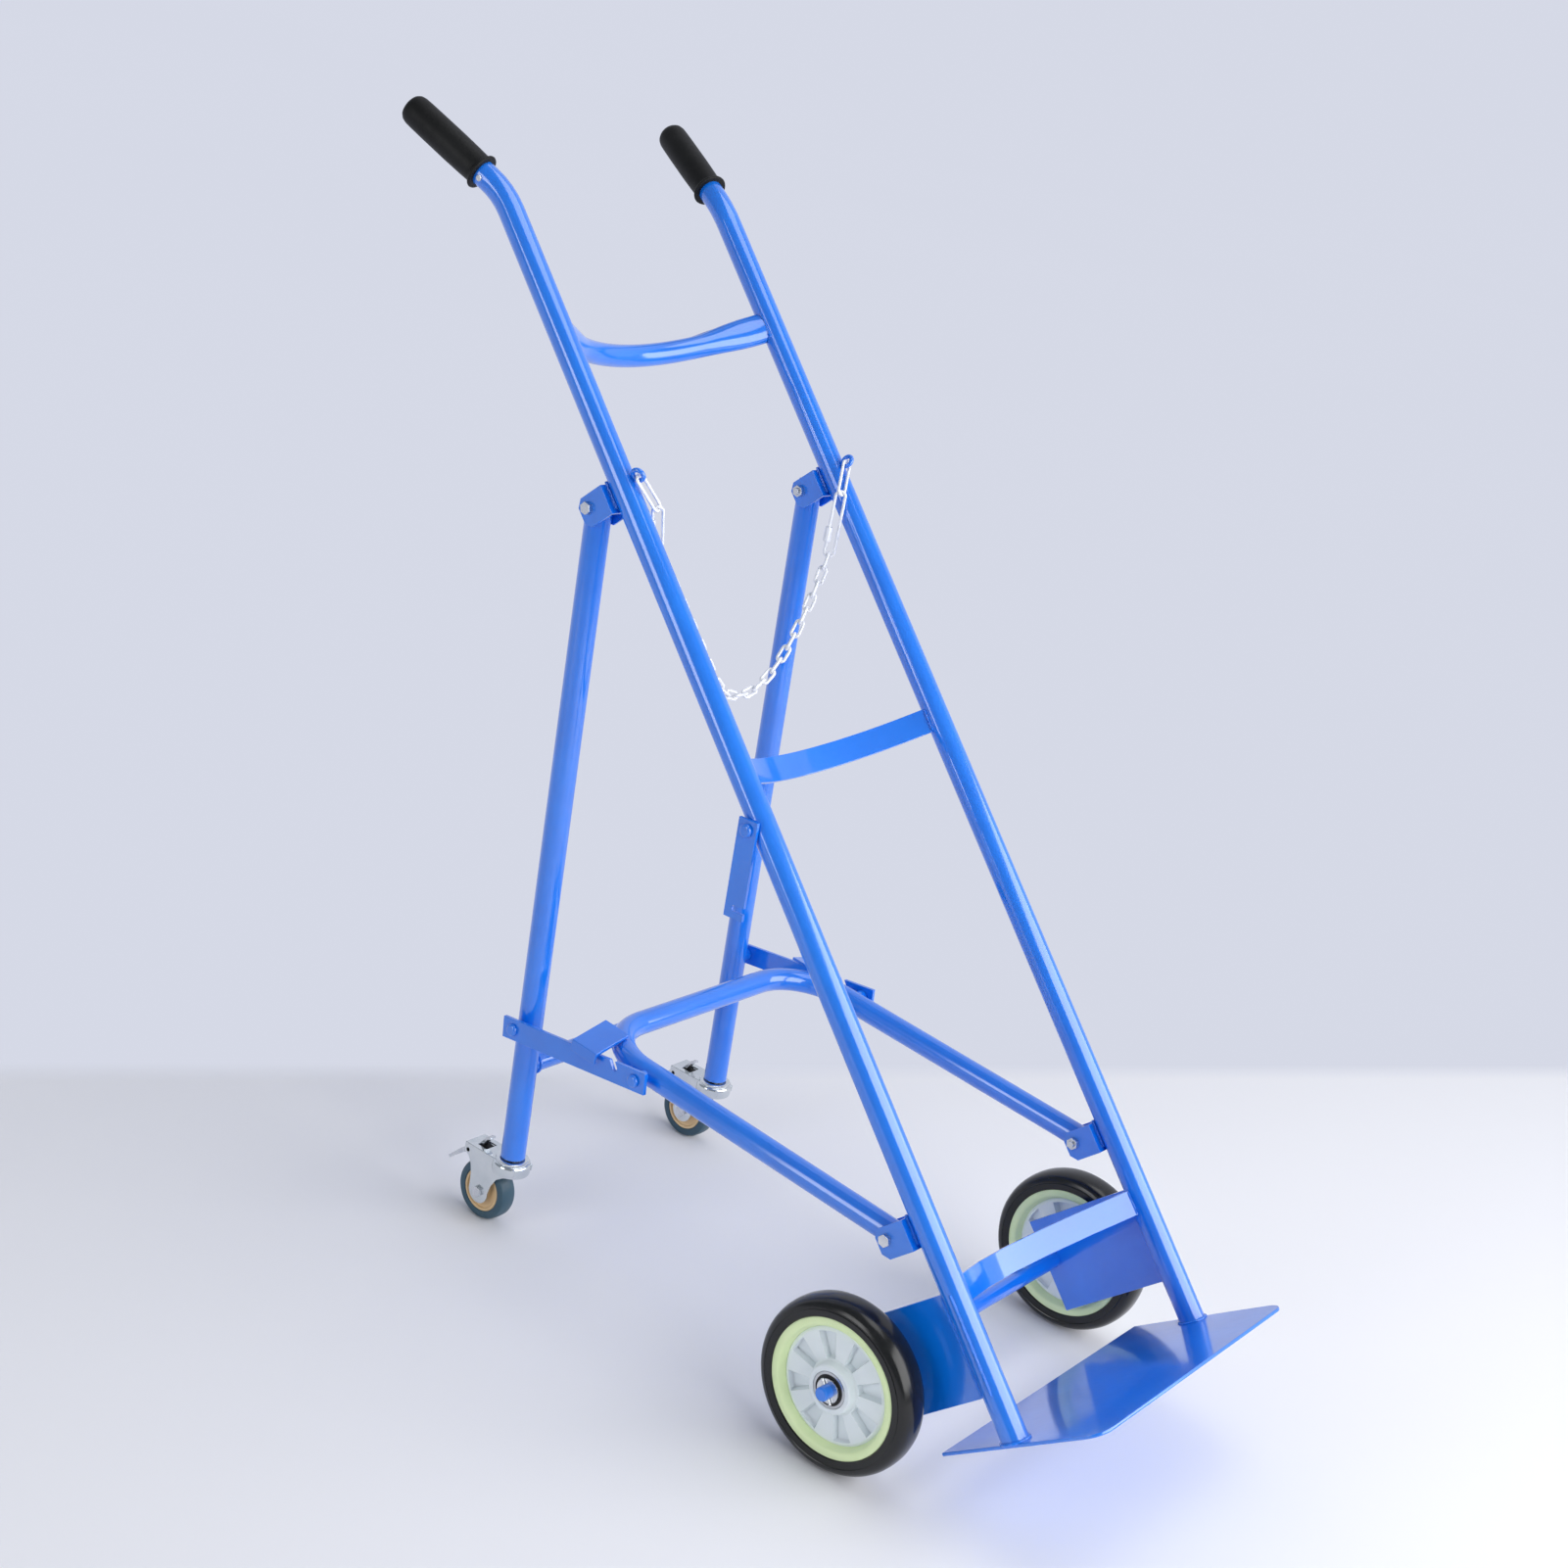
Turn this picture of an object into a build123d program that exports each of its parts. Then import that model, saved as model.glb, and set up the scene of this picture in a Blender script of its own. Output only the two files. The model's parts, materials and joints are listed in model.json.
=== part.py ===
from build123d import *
from math import cos, sin, radians, sqrt, atan2, degrees, cosh
import os

# Two-wheel cylinder truck with a folding rear leg frame on two braked casters.
# Millimetres. X runs across the truck (+X is its left side), Y runs rearward, Z is up.
# The origin is on the floor, in the middle of the truck's length and width.

# ---- driving dimensions -------------------------------------------------------------
half_track = 192.0          # centre plane of the truck to each upright's axis
lean_angle = 42.25          # uprights lean back from vertical
axle_y = -319.0             # front axle, measured from the origin
wheel_radius = 100.0
foot_behind_axle = -191.0   # lower end of the uprights, measured from the axle
foot_height = 119.6
tube_radius = 15.0          # uprights and rear legs
tube_wall = 2.0
brace_tube_radius = 14.0
handle_bend_at = 1457.0     # distance up the upright from its foot
handle_length = 152.0
handle_tip_back = 20.3      # degrees the handle turns rearward
handle_splay = 12.0         # degrees the handle turns outward
handle_bend_radius = 110.0
grip_length = 118.0
grip_radius = 18.5

top_bar_at = 1294.0
top_bar_radius = 13.5
top_bar_bow = 76.0
middle_bar_at = 766.0
middle_bar_bow = 86.0
lower_bar_at = 150.0
lower_bar_bow = 92.0
flat_bar_height = 30.0
flat_bar_thickness = 5.0

toe_front = 118.0
toe_rear = 90.0
toe_half_width = 205.0
toe_thickness = 4.0
toe_tilt = 6.0              # degrees the toe plate drops toward its front edge
toe_corner = 22.0
weld_gap = 0.02             # clearance left where one piece is welded against another

plate_low = 51.0            # axle plate, measured along the upright
plate_high = 165.0
plate_rear = 166.0          # measured square to the upright
plate_inner = 194.0
plate_thickness = 5.0
axle_radius = 10.0
axle_end_radius = 8.0

clevis_offset = 44.0        # hinge bolt axis behind the upright's axis
upper_hinge_at = 1091.0
lower_hinge_at = 238.0
clevis_gap = 31.0
clevis_sheet = 3.5
clevis_web = 3.5

leg_foot_y = 541.0          # caster swivel axis behind the front axle
leg_foot_height = 100.0
leg_cross_at = 680.0        # down the leg from its hinge
leg_cross_radius = 12.0
link_on_leg_at = 626.5      # coupler bolt, down the leg from its hinge

brace_rise = 4.1            # degrees the brace frame rises rearward
brace_depth = 447.0         # lower hinge to the axis of the brace's rear tube
brace_corner = 78.0
link_on_brace_at = 359.0    # coupler bolt, along the brace from its hinge

link_bar_height = 26.0
link_bar_thickness = 5.0
link_bar_inner = 217.0      # inner face of the coupler bar
link_bar_past = 16.0        # bar past each bolt

eye_at = 1096.0
eye_offset = -24.0
store_link_at = 692.0
store_link_offset = 7.0
store_link_reach = 90.0

m8_radius = 4.0
pivot_clearance = 0.08
m8_flats = 13.0

wheel_center = 238.0        # tyre's middle plane
tyre_width = 42.0

caster_radius = 38.0
caster_trail = 32.0
caster_tread_width = 24.0

# ---- places derived from the dimensions ---------------------------------------------
up_y = sin(radians(lean_angle))
up_z = cos(radians(lean_angle))
foot_y = axle_y + foot_behind_axle


def beside(along, back):
    """Y and Z of a point that lies along the upright and square behind it."""
    return (foot_y + along * up_y + back * up_z, foot_height + along * up_z - back * up_y)


def side_plane(x, along=0.0, back=0.0):
    """A plane square to X whose local X runs up the upright; local Y points forward."""
    y, z = beside(along, back)
    return Plane(origin=(x, y, z), x_dir=(0, up_y, up_z), z_dir=(1, 0, 0))


upper_hinge = beside(upper_hinge_at, clevis_offset)
lower_hinge = beside(lower_hinge_at, clevis_offset)
leg_foot = (axle_y + leg_foot_y, leg_foot_height)
leg_length = sqrt((upper_hinge[0] - leg_foot[0]) ** 2 + (upper_hinge[1] - leg_foot[1]) ** 2)
leg_y = (leg_foot[0] - upper_hinge[0]) / leg_length
leg_z = (leg_foot[1] - upper_hinge[1]) / leg_length
brace_y = cos(radians(brace_rise))
brace_z = sin(radians(brace_rise))


def down_leg(distance):
    return (upper_hinge[0] + leg_y * distance, upper_hinge[1] + leg_z * distance)


def along_brace(distance, above=0.0):
    return (lower_hinge[0] + brace_y * distance - brace_z * above,
            lower_hinge[1] + brace_z * distance + brace_y * above)


link_on_leg = down_leg(link_on_leg_at)
link_on_brace = along_brace(link_on_brace_at)
link_reach = sqrt((link_on_leg[0] - link_on_brace[0]) ** 2
                  + (link_on_leg[1] - link_on_brace[1]) ** 2)
link_slope = degrees(atan2(link_on_leg[1] - link_on_brace[1], link_on_leg[0] - link_on_brace[0]))

os.makedirs("parts", exist_ok=True)
sides = (("left", 1.0), ("right", -1.0))


def save(shape, name):
    shape.label = name
    export_step(shape, "parts/" + name + ".step")


def cross_plane(x, place, turn=0.0):
    """A plane square to X at a (Y, Z) place; local X runs rearward, turned by degrees."""
    return Plane(origin=(x, place[0], place[1]),
                 x_dir=(0, cos(radians(turn)), sin(radians(turn))), z_dir=(1, 0, 0))


# ---- uprights with their bent handles -----------------------------------------------
handle_up = cos(radians(handle_tip_back)) * cos(radians(handle_splay))
handle_back = sin(radians(handle_tip_back)) * cos(radians(handle_splay))
handle_out = sin(radians(handle_splay))


def handle_point(side, distance):
    y, z = beside(handle_bend_at + handle_up * distance, handle_back * distance)
    return (side * (half_track + handle_out * distance), y, z)


def handle_plane(side, distance):
    start = Vector(handle_point(side, distance))
    ahead = Vector(handle_point(side, distance + 1.0))
    return Plane(origin=start, z_dir=ahead - start, x_dir=(1, 0, 0))


toe_normal_turn = lean_angle - toe_tilt
toe_up = (0, sin(radians(toe_normal_turn)), cos(radians(toe_normal_turn)))
toe_plane = Plane(origin=(0, foot_y, foot_height), x_dir=(1, 0, 0), z_dir=toe_up)
below_foot = beside(-6.0, 0.0)

for side_name, side in sides:
    foot_point = (side * half_track, below_foot[0], below_foot[1])
    bend_point = handle_point(side, 0.0)
    tip_point = handle_point(side, handle_length - 4.0)
    with BuildPart() as upright:
        with BuildLine() as upright_path:
            FilletPolyline(foot_point, bend_point, tip_point, radius=handle_bend_radius)
        with BuildSketch(Plane(origin=foot_point, z_dir=(0, up_y, up_z), x_dir=(1, 0, 0))):
            Circle(tube_radius)
            Circle(tube_radius - tube_wall, mode=Mode.SUBTRACT)
        sweep(path=upright_path.line)
        split(bisect_by=toe_plane, keep=Keep.TOP)
    save(upright.part, side_name + "_upright")

# ---- handle grips -------------------------------------------------------------------
grip_start = handle_length - grip_length
for side_name, side in sides:
    with BuildPart() as grip:
        with BuildSketch(handle_plane(side, grip_start)):
            Circle(grip_radius + 3.0)
        extrude(amount=4.0)
        with BuildSketch(handle_plane(side, grip_start)):
            Circle(grip_radius)
        extrude(amount=grip_length)
        fillet(grip.edges().filter_by(GeomType.CIRCLE).sort_by(
            lambda e: (e.center() - Vector(handle_point(side, handle_length))).length)[0], 9.0)
        with BuildSketch(handle_plane(side, grip_start)):
            Circle(tube_radius)
        extrude(amount=grip_length - 4.0, mode=Mode.SUBTRACT)
    save(grip.part, side_name + "_grip")

with BuildPart() as grip_screws:
    for side_name, side in sides:
        screw_plane = handle_plane(side, grip_start - 7.0)
        outward = Plane(origin=screw_plane.origin, z_dir=screw_plane.x_dir * side,
                        x_dir=screw_plane.z_dir)
        with BuildSketch(outward.offset(tube_radius)):
            Circle(3.5)
        extrude(amount=1.6)
save(grip_screws.part, "grip_screws")

# ---- bowed crossbars ----------------------------------------------------------------
bar_half_span = half_track - 6.0
upright_axes = [Plane(origin=(side * half_track, foot_y, foot_height), z_dir=(0, up_y, up_z),
                      x_dir=(1, 0, 0)) for side_name, side in sides]
cope_length = 4000.0


def bar_plane(along):
    """A plane square to the uprights: local X across the truck, local Y to its rear."""
    y, z = beside(along, 0.0)
    return Plane(origin=(0, y, z), x_dir=(1, 0, 0), z_dir=(0, up_y, up_z))


def bow_depth(bow, x):
    return bow * (1.0 - (x / bar_half_span) ** 2)


with BuildPart() as top_crossbar:
    with BuildLine(bar_plane(top_bar_at)) as top_path:
        ThreePointArc((-bar_half_span, 0), (0, top_bar_bow), (bar_half_span, 0))
    with BuildSketch(Plane(origin=top_path.line @ 0, z_dir=top_path.line % 0, x_dir=(0, up_y, up_z))):
        Circle(top_bar_radius)
        Circle(top_bar_radius - tube_wall, mode=Mode.SUBTRACT)
    sweep(path=top_path.line)
    with Locations(*upright_axes):
        Cylinder(tube_radius + weld_gap, cope_length, mode=Mode.SUBTRACT)
save(top_crossbar.part, "top_crossbar")

with BuildPart() as middle_crossbar:
    with BuildSketch(bar_plane(middle_bar_at - flat_bar_height / 2)):
        with BuildLine():
            inner_bow = middle_bar_bow - flat_bar_thickness
            ThreePointArc((-bar_half_span, 0), (0, middle_bar_bow), (bar_half_span, 0))
            Line((bar_half_span, 0), (bar_half_span, -flat_bar_thickness))
            ThreePointArc((bar_half_span, -flat_bar_thickness), (0, inner_bow),
                          (-bar_half_span, -flat_bar_thickness))
            Line((-bar_half_span, -flat_bar_thickness), (-bar_half_span, 0))
        make_face()
    extrude(amount=flat_bar_height)
    with Locations(*upright_axes):
        Cylinder(tube_radius + weld_gap, cope_length, mode=Mode.SUBTRACT)
save(middle_crossbar.part, "middle_crossbar")

lower_fold_count = 7
with BuildPart() as lower_crossbar:
    with BuildSketch(bar_plane(lower_bar_at - flat_bar_height / 2)):
        with BuildLine():
            fold_x = [bar_half_span * (2.0 * i / lower_fold_count - 1.0)
                      for i in range(lower_fold_count + 1)]
            outer_points = [(x, bow_depth(lower_bar_bow, x)) for x in fold_x]
            inner_points = [(x, bow_depth(lower_bar_bow, x) - flat_bar_thickness) for x in fold_x]
            Polyline(outer_points + inner_points[::-1] + [outer_points[0]])
        make_face()
    extrude(amount=flat_bar_height)
    with Locations(*upright_axes):
        Cylinder(tube_radius + weld_gap, cope_length, mode=Mode.SUBTRACT)
save(lower_crossbar.part, "lower_crossbar")

# ---- toe plate ----------------------------------------------------------------------
with BuildPart() as toe_plate:
    with BuildSketch(toe_plane.offset(-toe_thickness)):
        with Locations((0, (toe_rear - toe_front) / 2)):
            Rectangle(2 * toe_half_width, toe_front + toe_rear)
    extrude(amount=toe_thickness)
    front_edges = toe_plate.edges().filter_by(Axis((0, 0, 0), toe_up)).sort_by(Axis.Y)[:2]
    fillet(front_edges, toe_corner)
save(toe_plate.part, "toe_plate")

# ---- axle plates and axle -----------------------------------------------------------
axle_place = (axle_y, wheel_radius)
plate_edge = plate_inner + plate_thickness
for side_name, side in sides:
    with BuildPart() as axle_plate:
        with BuildSketch(side_plane(side * (plate_inner + plate_thickness / 2), 0, 0)):
            with Locations(((plate_low + plate_high) / 2, -plate_rear / 2)):
                Rectangle(plate_high - plate_low, plate_rear)
        extrude(amount=plate_thickness / 2, both=True)
        with Locations(*upright_axes):
            Cylinder(tube_radius + weld_gap, cope_length, mode=Mode.SUBTRACT)
        with Locations(cross_plane(0, axle_place)):
            Cylinder(axle_end_radius, cope_length, mode=Mode.SUBTRACT)
    plate_pieces = axle_plate.part.solids().sort_by(SortBy.VOLUME)
    save(plate_pieces[-1], side_name + "_axle_plate")

axle_end = wheel_center + tyre_width / 2 + 16.0
with BuildPart() as axle:
    with Locations(cross_plane(0, axle_place)):
        Cylinder(axle_radius, 2 * (plate_inner - weld_gap))
        Cylinder(axle_end_radius - weld_gap, 2 * axle_end)
    chamfer(axle.edges().filter_by(GeomType.CIRCLE).sort_by(Axis.X)[0], 1.5)
    chamfer(axle.edges().filter_by(GeomType.CIRCLE).sort_by(Axis.X)[-1], 1.5)
save(axle.part, "front_axle")

# ---- front wheels -------------------------------------------------------------------
band_radius = 79.0
hub_radius = 70.0
bearing_radius = 21.0
bearing_width = 12.0
hub_boss_radius = 28.0
hub_boss_half = 22.0
rim_half = 19.0
web_half = 13.0
pocket_count = 8


def wheel_section(side):
    return Plane(origin=(side * wheel_center, axle_y, wheel_radius), x_dir=(1, 0, 0),
                 z_dir=(0, -1, 0))


def spin_axis(place):
    return Axis((0, place[0], place[1]), (1, 0, 0))


for side_name, side in sides:
    with BuildPart() as tyre:
        with BuildSketch(wheel_section(side)):
            with BuildLine():
                Polyline((-tyre_width / 2, 88), (-tyre_width / 2 + 1, band_radius),
                         (tyre_width / 2 - 1, band_radius), (tyre_width / 2, 88))
                ThreePointArc((tyre_width / 2, 88), (0, wheel_radius), (-tyre_width / 2, 88))
            make_face()
        revolve(axis=spin_axis(axle_place))
    save(tyre.part, side_name + "_wheel_tyre")

    with BuildPart() as band:
        with BuildSketch(wheel_section(side)):
            with Locations((0, (band_radius + hub_radius) / 2)):
                Rectangle(2 * rim_half, band_radius - hub_radius)
        revolve(axis=spin_axis(axle_place))
    save(band.part, side_name + "_wheel_band")

    with BuildPart() as hub:
        with BuildSketch(wheel_section(side)):
            with Locations((0, hub_boss_radius / 2 + 6)):
                Rectangle(2 * hub_boss_half, hub_boss_radius - 12)
            with Locations((0, 44)):
                Rectangle(2 * web_half, 36)
            with Locations((0, 66)):
                Rectangle(2 * rim_half, 8)
        revolve(axis=spin_axis(axle_place))
        with Locations(Plane(origin=(side * wheel_center, axle_y, wheel_radius), z_dir=(1, 0, 0))):
            Cylinder(bearing_radius, bearing_width, mode=Mode.SUBTRACT)
        for face in (-1, 1):
            seat_x = side * wheel_center + face * (hub_boss_half - bearing_width / 2)
            with Locations(cross_plane(seat_x, axle_place)):
                Cylinder(bearing_radius, bearing_width, mode=Mode.SUBTRACT)
            pocket_x = side * wheel_center + face * web_half
            with BuildSketch(cross_plane(pocket_x, axle_place)):
                with PolarLocations(46, pocket_count):
                    Trapezoid(22, 24, 80, rotation=-90)
            extrude(amount=face * -9.0, mode=Mode.SUBTRACT)
    save(hub.part, side_name + "_wheel_hub")

    with BuildPart() as bearings:
        for face in (-1, 1):
            seat_x = side * wheel_center + face * (hub_boss_half - bearing_width / 2)
            with Locations(cross_plane(seat_x, axle_place)):
                Cylinder(bearing_radius, bearing_width)
                Cylinder(axle_end_radius + pivot_clearance - weld_gap, bearing_width,
                         mode=Mode.SUBTRACT)
    save(bearings.part, side_name + "_wheel_bearings")

spacer_start = plate_edge
spacer_end = wheel_center - hub_boss_half - 0.4
washer_start = wheel_center + hub_boss_half + 0.4
with BuildPart() as axle_spacers:
    for side_name, side in sides:
        with Locations(cross_plane(side * (spacer_start + spacer_end) / 2, axle_place)):
            Cylinder(12.0, spacer_end - spacer_start)
            Cylinder(axle_end_radius, spacer_end - spacer_start, mode=Mode.SUBTRACT)
save(axle_spacers.part, "axle_spacers")

with BuildPart() as axle_washers:
    for side_name, side in sides:
        with Locations(cross_plane(side * (washer_start + 1.25), axle_place)):
            Cylinder(14.0, 2.5)
            Cylinder(axle_end_radius, 2.5, mode=Mode.SUBTRACT)
save(axle_washers.part, "axle_washers")

pin_radius = 1.6
with BuildPart() as split_pins:
    for side_name, side in sides:
        pin_x = side * (washer_start + 2.5 + pin_radius + 0.2)
        for end in (-1, 1):
            with BuildSketch(Plane(origin=(pin_x, axle_place[0], axle_place[1]),
                                   z_dir=(0, sin(0.6) * end, cos(0.6) * end)).offset(axle_end_radius)):
                Circle(pin_radius)
            extrude(amount=7.0)
save(split_pins.part, "split_pins")

# ---- hinge brackets, bolts and nuts -------------------------------------------------
clevis_above = 14.0
clevis_below = 21.0
clevis_past_bolt = 13.0
clevis_half = clevis_gap / 2 + clevis_sheet
for level, hinge_at in (("upper", upper_hinge_at), ("lower", lower_hinge_at)):
    for side_name, side in sides:
        hinge_place = beside(hinge_at, clevis_offset)
        with BuildPart() as bracket:
            with BuildSketch(side_plane(side * half_track, hinge_at, 0)):
                with Locations(((clevis_above - clevis_below) / 2,
                                -(clevis_offset + clevis_past_bolt + tube_radius) / 2)):
                    Rectangle(clevis_above + clevis_below,
                              clevis_offset + clevis_past_bolt - tube_radius)
            extrude(amount=clevis_half, both=True)
            rear_edges = bracket.edges().filter_by(Axis.X).sort_by(
                Axis((0, 0, 0), (0, up_z, -up_y)))[-2:]
            chamfer(rear_edges, 8.0)
            with BuildSketch(side_plane(side * half_track, hinge_at, 0)):
                with Locations(((clevis_above - clevis_below) / 2,
                                -(tube_radius + clevis_web) - 40.0)):
                    Rectangle(100, 80)
            extrude(amount=clevis_gap / 2, both=True, mode=Mode.SUBTRACT)
            with Locations(cross_plane(side * half_track, hinge_place)):
                Cylinder(m8_radius, 4 * clevis_half, mode=Mode.SUBTRACT)
            with Locations(*upright_axes):
                Cylinder(tube_radius + weld_gap, cope_length, mode=Mode.SUBTRACT)
        save(bracket.part, side_name + "_" + level + "_bracket")

bolt_head = 5.3
nut_height = 6.5
hinge_places = (upper_hinge, lower_hinge)
bolt_grip = 2 * clevis_half
with BuildPart() as hinge_bolts:
    for place in hinge_places:
        for side_name, side in sides:
            outer_x = side * (half_track + clevis_half)
            with BuildSketch(cross_plane(outer_x, place, 15)):
                RegularPolygon(m8_flats / 2, 6, major_radius=False)
            extrude(amount=side * bolt_head)
            with BuildSketch(cross_plane(outer_x, place)):
                Circle(m8_radius - weld_gap)
            extrude(amount=-side * (bolt_grip + nut_height + 3.0))
save(hinge_bolts.part, "hinge_bolts")

with BuildPart() as hinge_nuts:
    for place in hinge_places:
        for side_name, side in sides:
            inner_x = side * (half_track - clevis_half)
            with BuildSketch(cross_plane(inner_x, place, 15)):
                RegularPolygon(m8_flats / 2, 6, major_radius=False)
                Circle(m8_radius, mode=Mode.SUBTRACT)
            extrude(amount=-side * nut_height)
save(hinge_nuts.part, "hinge_nuts")

# ---- rear leg frame -----------------------------------------------------------------
leg_top_past = 13.0


def leg_plane(x, distance):
    """Square to the leg at a distance below its hinge; its normal points down the leg."""
    y, z = down_leg(distance)
    return Plane(origin=(x, y, z), x_dir=(1, 0, 0), z_dir=(0, leg_y, leg_z))


for side_name, side in sides:
    with BuildPart() as leg:
        with BuildSketch(leg_plane(side * half_track, -leg_top_past)):
            Circle(tube_radius)
            Circle(tube_radius - tube_wall, mode=Mode.SUBTRACT)
        extrude(amount=leg_top_past + leg_length)
        with Locations(cross_plane(side * half_track, upper_hinge)):
            Cylinder(m8_radius + pivot_clearance, 60, mode=Mode.SUBTRACT)
    save(leg.part, side_name + "_rear_leg")

with BuildPart() as leg_cross_tube:
    with BuildSketch(cross_plane(-half_track, down_leg(leg_cross_at))):
        Circle(leg_cross_radius)
        Circle(leg_cross_radius - tube_wall, mode=Mode.SUBTRACT)
    extrude(amount=2 * half_track)
    with Locations(*[leg_plane(side * half_track, 0) for side_name, side in sides]):
        Cylinder(tube_radius + weld_gap, cope_length, mode=Mode.SUBTRACT)
save(leg_cross_tube.part, "leg_cross_tube")

pivot_gap = 0.4             # between the coupler bar and the spacer it turns against
spacer_radius = 8.0
with BuildPart() as leg_spacers:
    for side_name, side in sides:
        with BuildSketch(cross_plane(side * (link_bar_inner - pivot_gap), link_on_leg)):
            Circle(spacer_radius)
        extrude(amount=-side * (link_bar_inner - pivot_gap - half_track))
        with Locations(leg_plane(side * half_track, leg_length / 2)):
            Cylinder(tube_radius + weld_gap, leg_length, mode=Mode.SUBTRACT)
save(leg_spacers.part, "leg_spacers")

stem_radius = 5.0
socket_depth = 26.0
socket_lip = 3.0
with BuildPart() as caster_sockets:
    for side_name, side in sides:
        with BuildSketch(leg_plane(side * half_track, leg_length - socket_depth)):
            Circle(tube_radius - tube_wall - weld_gap)
        extrude(amount=socket_depth)
        with BuildSketch(leg_plane(side * half_track, leg_length + weld_gap)):
            Circle(tube_radius)
        extrude(amount=socket_lip)
        with BuildSketch(leg_plane(side * half_track, leg_length)):
            Circle(tube_radius - tube_wall - weld_gap)
        extrude(amount=1.0)
save(caster_sockets.part, "caster_sockets")

# ---- folding brace frame ------------------------------------------------------------
brace_start = along_brace(-13.0)
brace_tail = along_brace(brace_depth)
with BuildPart() as brace_tube:
    with BuildLine() as brace_path:
        FilletPolyline((-half_track, brace_start[0], brace_start[1]),
                       (-half_track, brace_tail[0], brace_tail[1]),
                       (half_track, brace_tail[0], brace_tail[1]),
                       (half_track, brace_start[0], brace_start[1]), radius=brace_corner)
    with BuildSketch(Plane(origin=(-half_track, brace_start[0], brace_start[1]),
                           z_dir=(0, brace_y, brace_z), x_dir=(1, 0, 0))):
        Circle(brace_tube_radius)
        Circle(brace_tube_radius - tube_wall, mode=Mode.SUBTRACT)
    sweep(path=brace_path.line)
    with Locations(cross_plane(0, lower_hinge)):
        Cylinder(m8_radius + pivot_clearance, 4 * half_track, mode=Mode.SUBTRACT)
save(brace_tube.part, "brace_tube")


def brace_plane(x, distance, above=0.0):
    """A plane square to X; local X runs along the brace, local Y above it."""
    return cross_plane(x, along_brace(distance, above), brace_rise)


bolt_dome = 4.5
bolt_dome_radius = 7.5
link_outer = link_bar_inner + link_bar_thickness
with BuildPart() as brace_pivots:
    for side_name, side in sides:
        with BuildSketch(cross_plane(side * (link_bar_inner - pivot_gap), link_on_brace)):
            Circle(spacer_radius)
        extrude(amount=-side * (link_bar_inner - pivot_gap - half_track))
        with Locations(Plane(origin=(side * half_track, *link_on_brace),
                             z_dir=(0, brace_y, brace_z), x_dir=(1, 0, 0))):
            Cylinder(brace_tube_radius + weld_gap, 300, mode=Mode.SUBTRACT)
        with BuildSketch(cross_plane(side * (link_bar_inner - pivot_gap), link_on_brace)):
            Circle(m8_radius)
        extrude(amount=side * (link_bar_thickness + 2 * pivot_gap))
        with BuildSketch(cross_plane(side * (link_outer + pivot_gap), link_on_brace)):
            Circle(bolt_dome_radius)
        extrude(amount=side * bolt_dome)
    domes = brace_pivots.edges().filter_by(GeomType.CIRCLE).sort_by(Axis.X)
    fillet([domes[0], domes[-1]], 3.0)
save(brace_pivots.part, "brace_pivots")

catch_sheet = 4.0
catch_start = link_on_brace_at + 53.0
catch_length = 38.0
catch_inner = half_track - 14.0
catch_outer = link_outer + 9.0
catch_inner_top = 20.0      # top of the slanting plate above the brace's axis, at each edge
catch_outer_top = 8.0
catch_lip = 14.0
lip_sheet = 3.0
for side_name, side in sides:
    with BuildPart() as catch_plate:
        with BuildSketch(Plane(origin=(0, *along_brace(catch_start)), x_dir=(side, 0, 0),
                               z_dir=(0, -side * brace_y, -side * brace_z))):
            with BuildLine():
                Polyline((catch_inner, catch_inner_top - catch_sheet), (catch_inner, catch_inner_top),
                         (catch_outer, catch_outer_top), (catch_outer, catch_outer_top - catch_lip),
                         (catch_outer - lip_sheet, catch_outer_top - catch_lip),
                         (catch_outer - lip_sheet, catch_outer_top - catch_sheet), close=True)
            make_face()
        extrude(amount=-side * catch_length)
        add(brace_tube.part, mode=Mode.SUBTRACT)
    catch_pieces = catch_plate.part.solids().sort_by(SortBy.VOLUME)
    save(catch_pieces[-1], side_name + "_catch_plate")

# ---- coupler bars between leg and brace ---------------------------------------------
link_notch_at = 34.0
link_notch_width = 7.0
for side_name, side in sides:
    with BuildPart() as coupler:
        with BuildSketch(cross_plane(side * (link_bar_inner + link_bar_thickness / 2),
                                     link_on_brace, link_slope)):
            with Locations((link_reach / 2, 0)):
                Rectangle(link_reach + 2 * link_bar_past, link_bar_height)
            with Locations(Location((link_notch_at, link_bar_height / 2), 60.0)):
                SlotCenterToCenter(18.0, link_notch_width, mode=Mode.SUBTRACT)
            Circle(m8_radius + pivot_clearance, mode=Mode.SUBTRACT)
        extrude(amount=link_bar_thickness / 2, both=True)
    save(coupler.part, side_name + "_coupler_bar")

    with BuildPart() as coupler_rivet:
        with BuildSketch(cross_plane(side * link_outer, link_on_leg)):
            Circle(bolt_dome_radius)
        extrude(amount=side * bolt_dome)
        fillet(coupler_rivet.edges().filter_by(GeomType.CIRCLE).sort_by(Axis.X)[-1 if side > 0 else 0],
               3.0)
    save(coupler_rivet.part, side_name + "_coupler_rivet")

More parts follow.
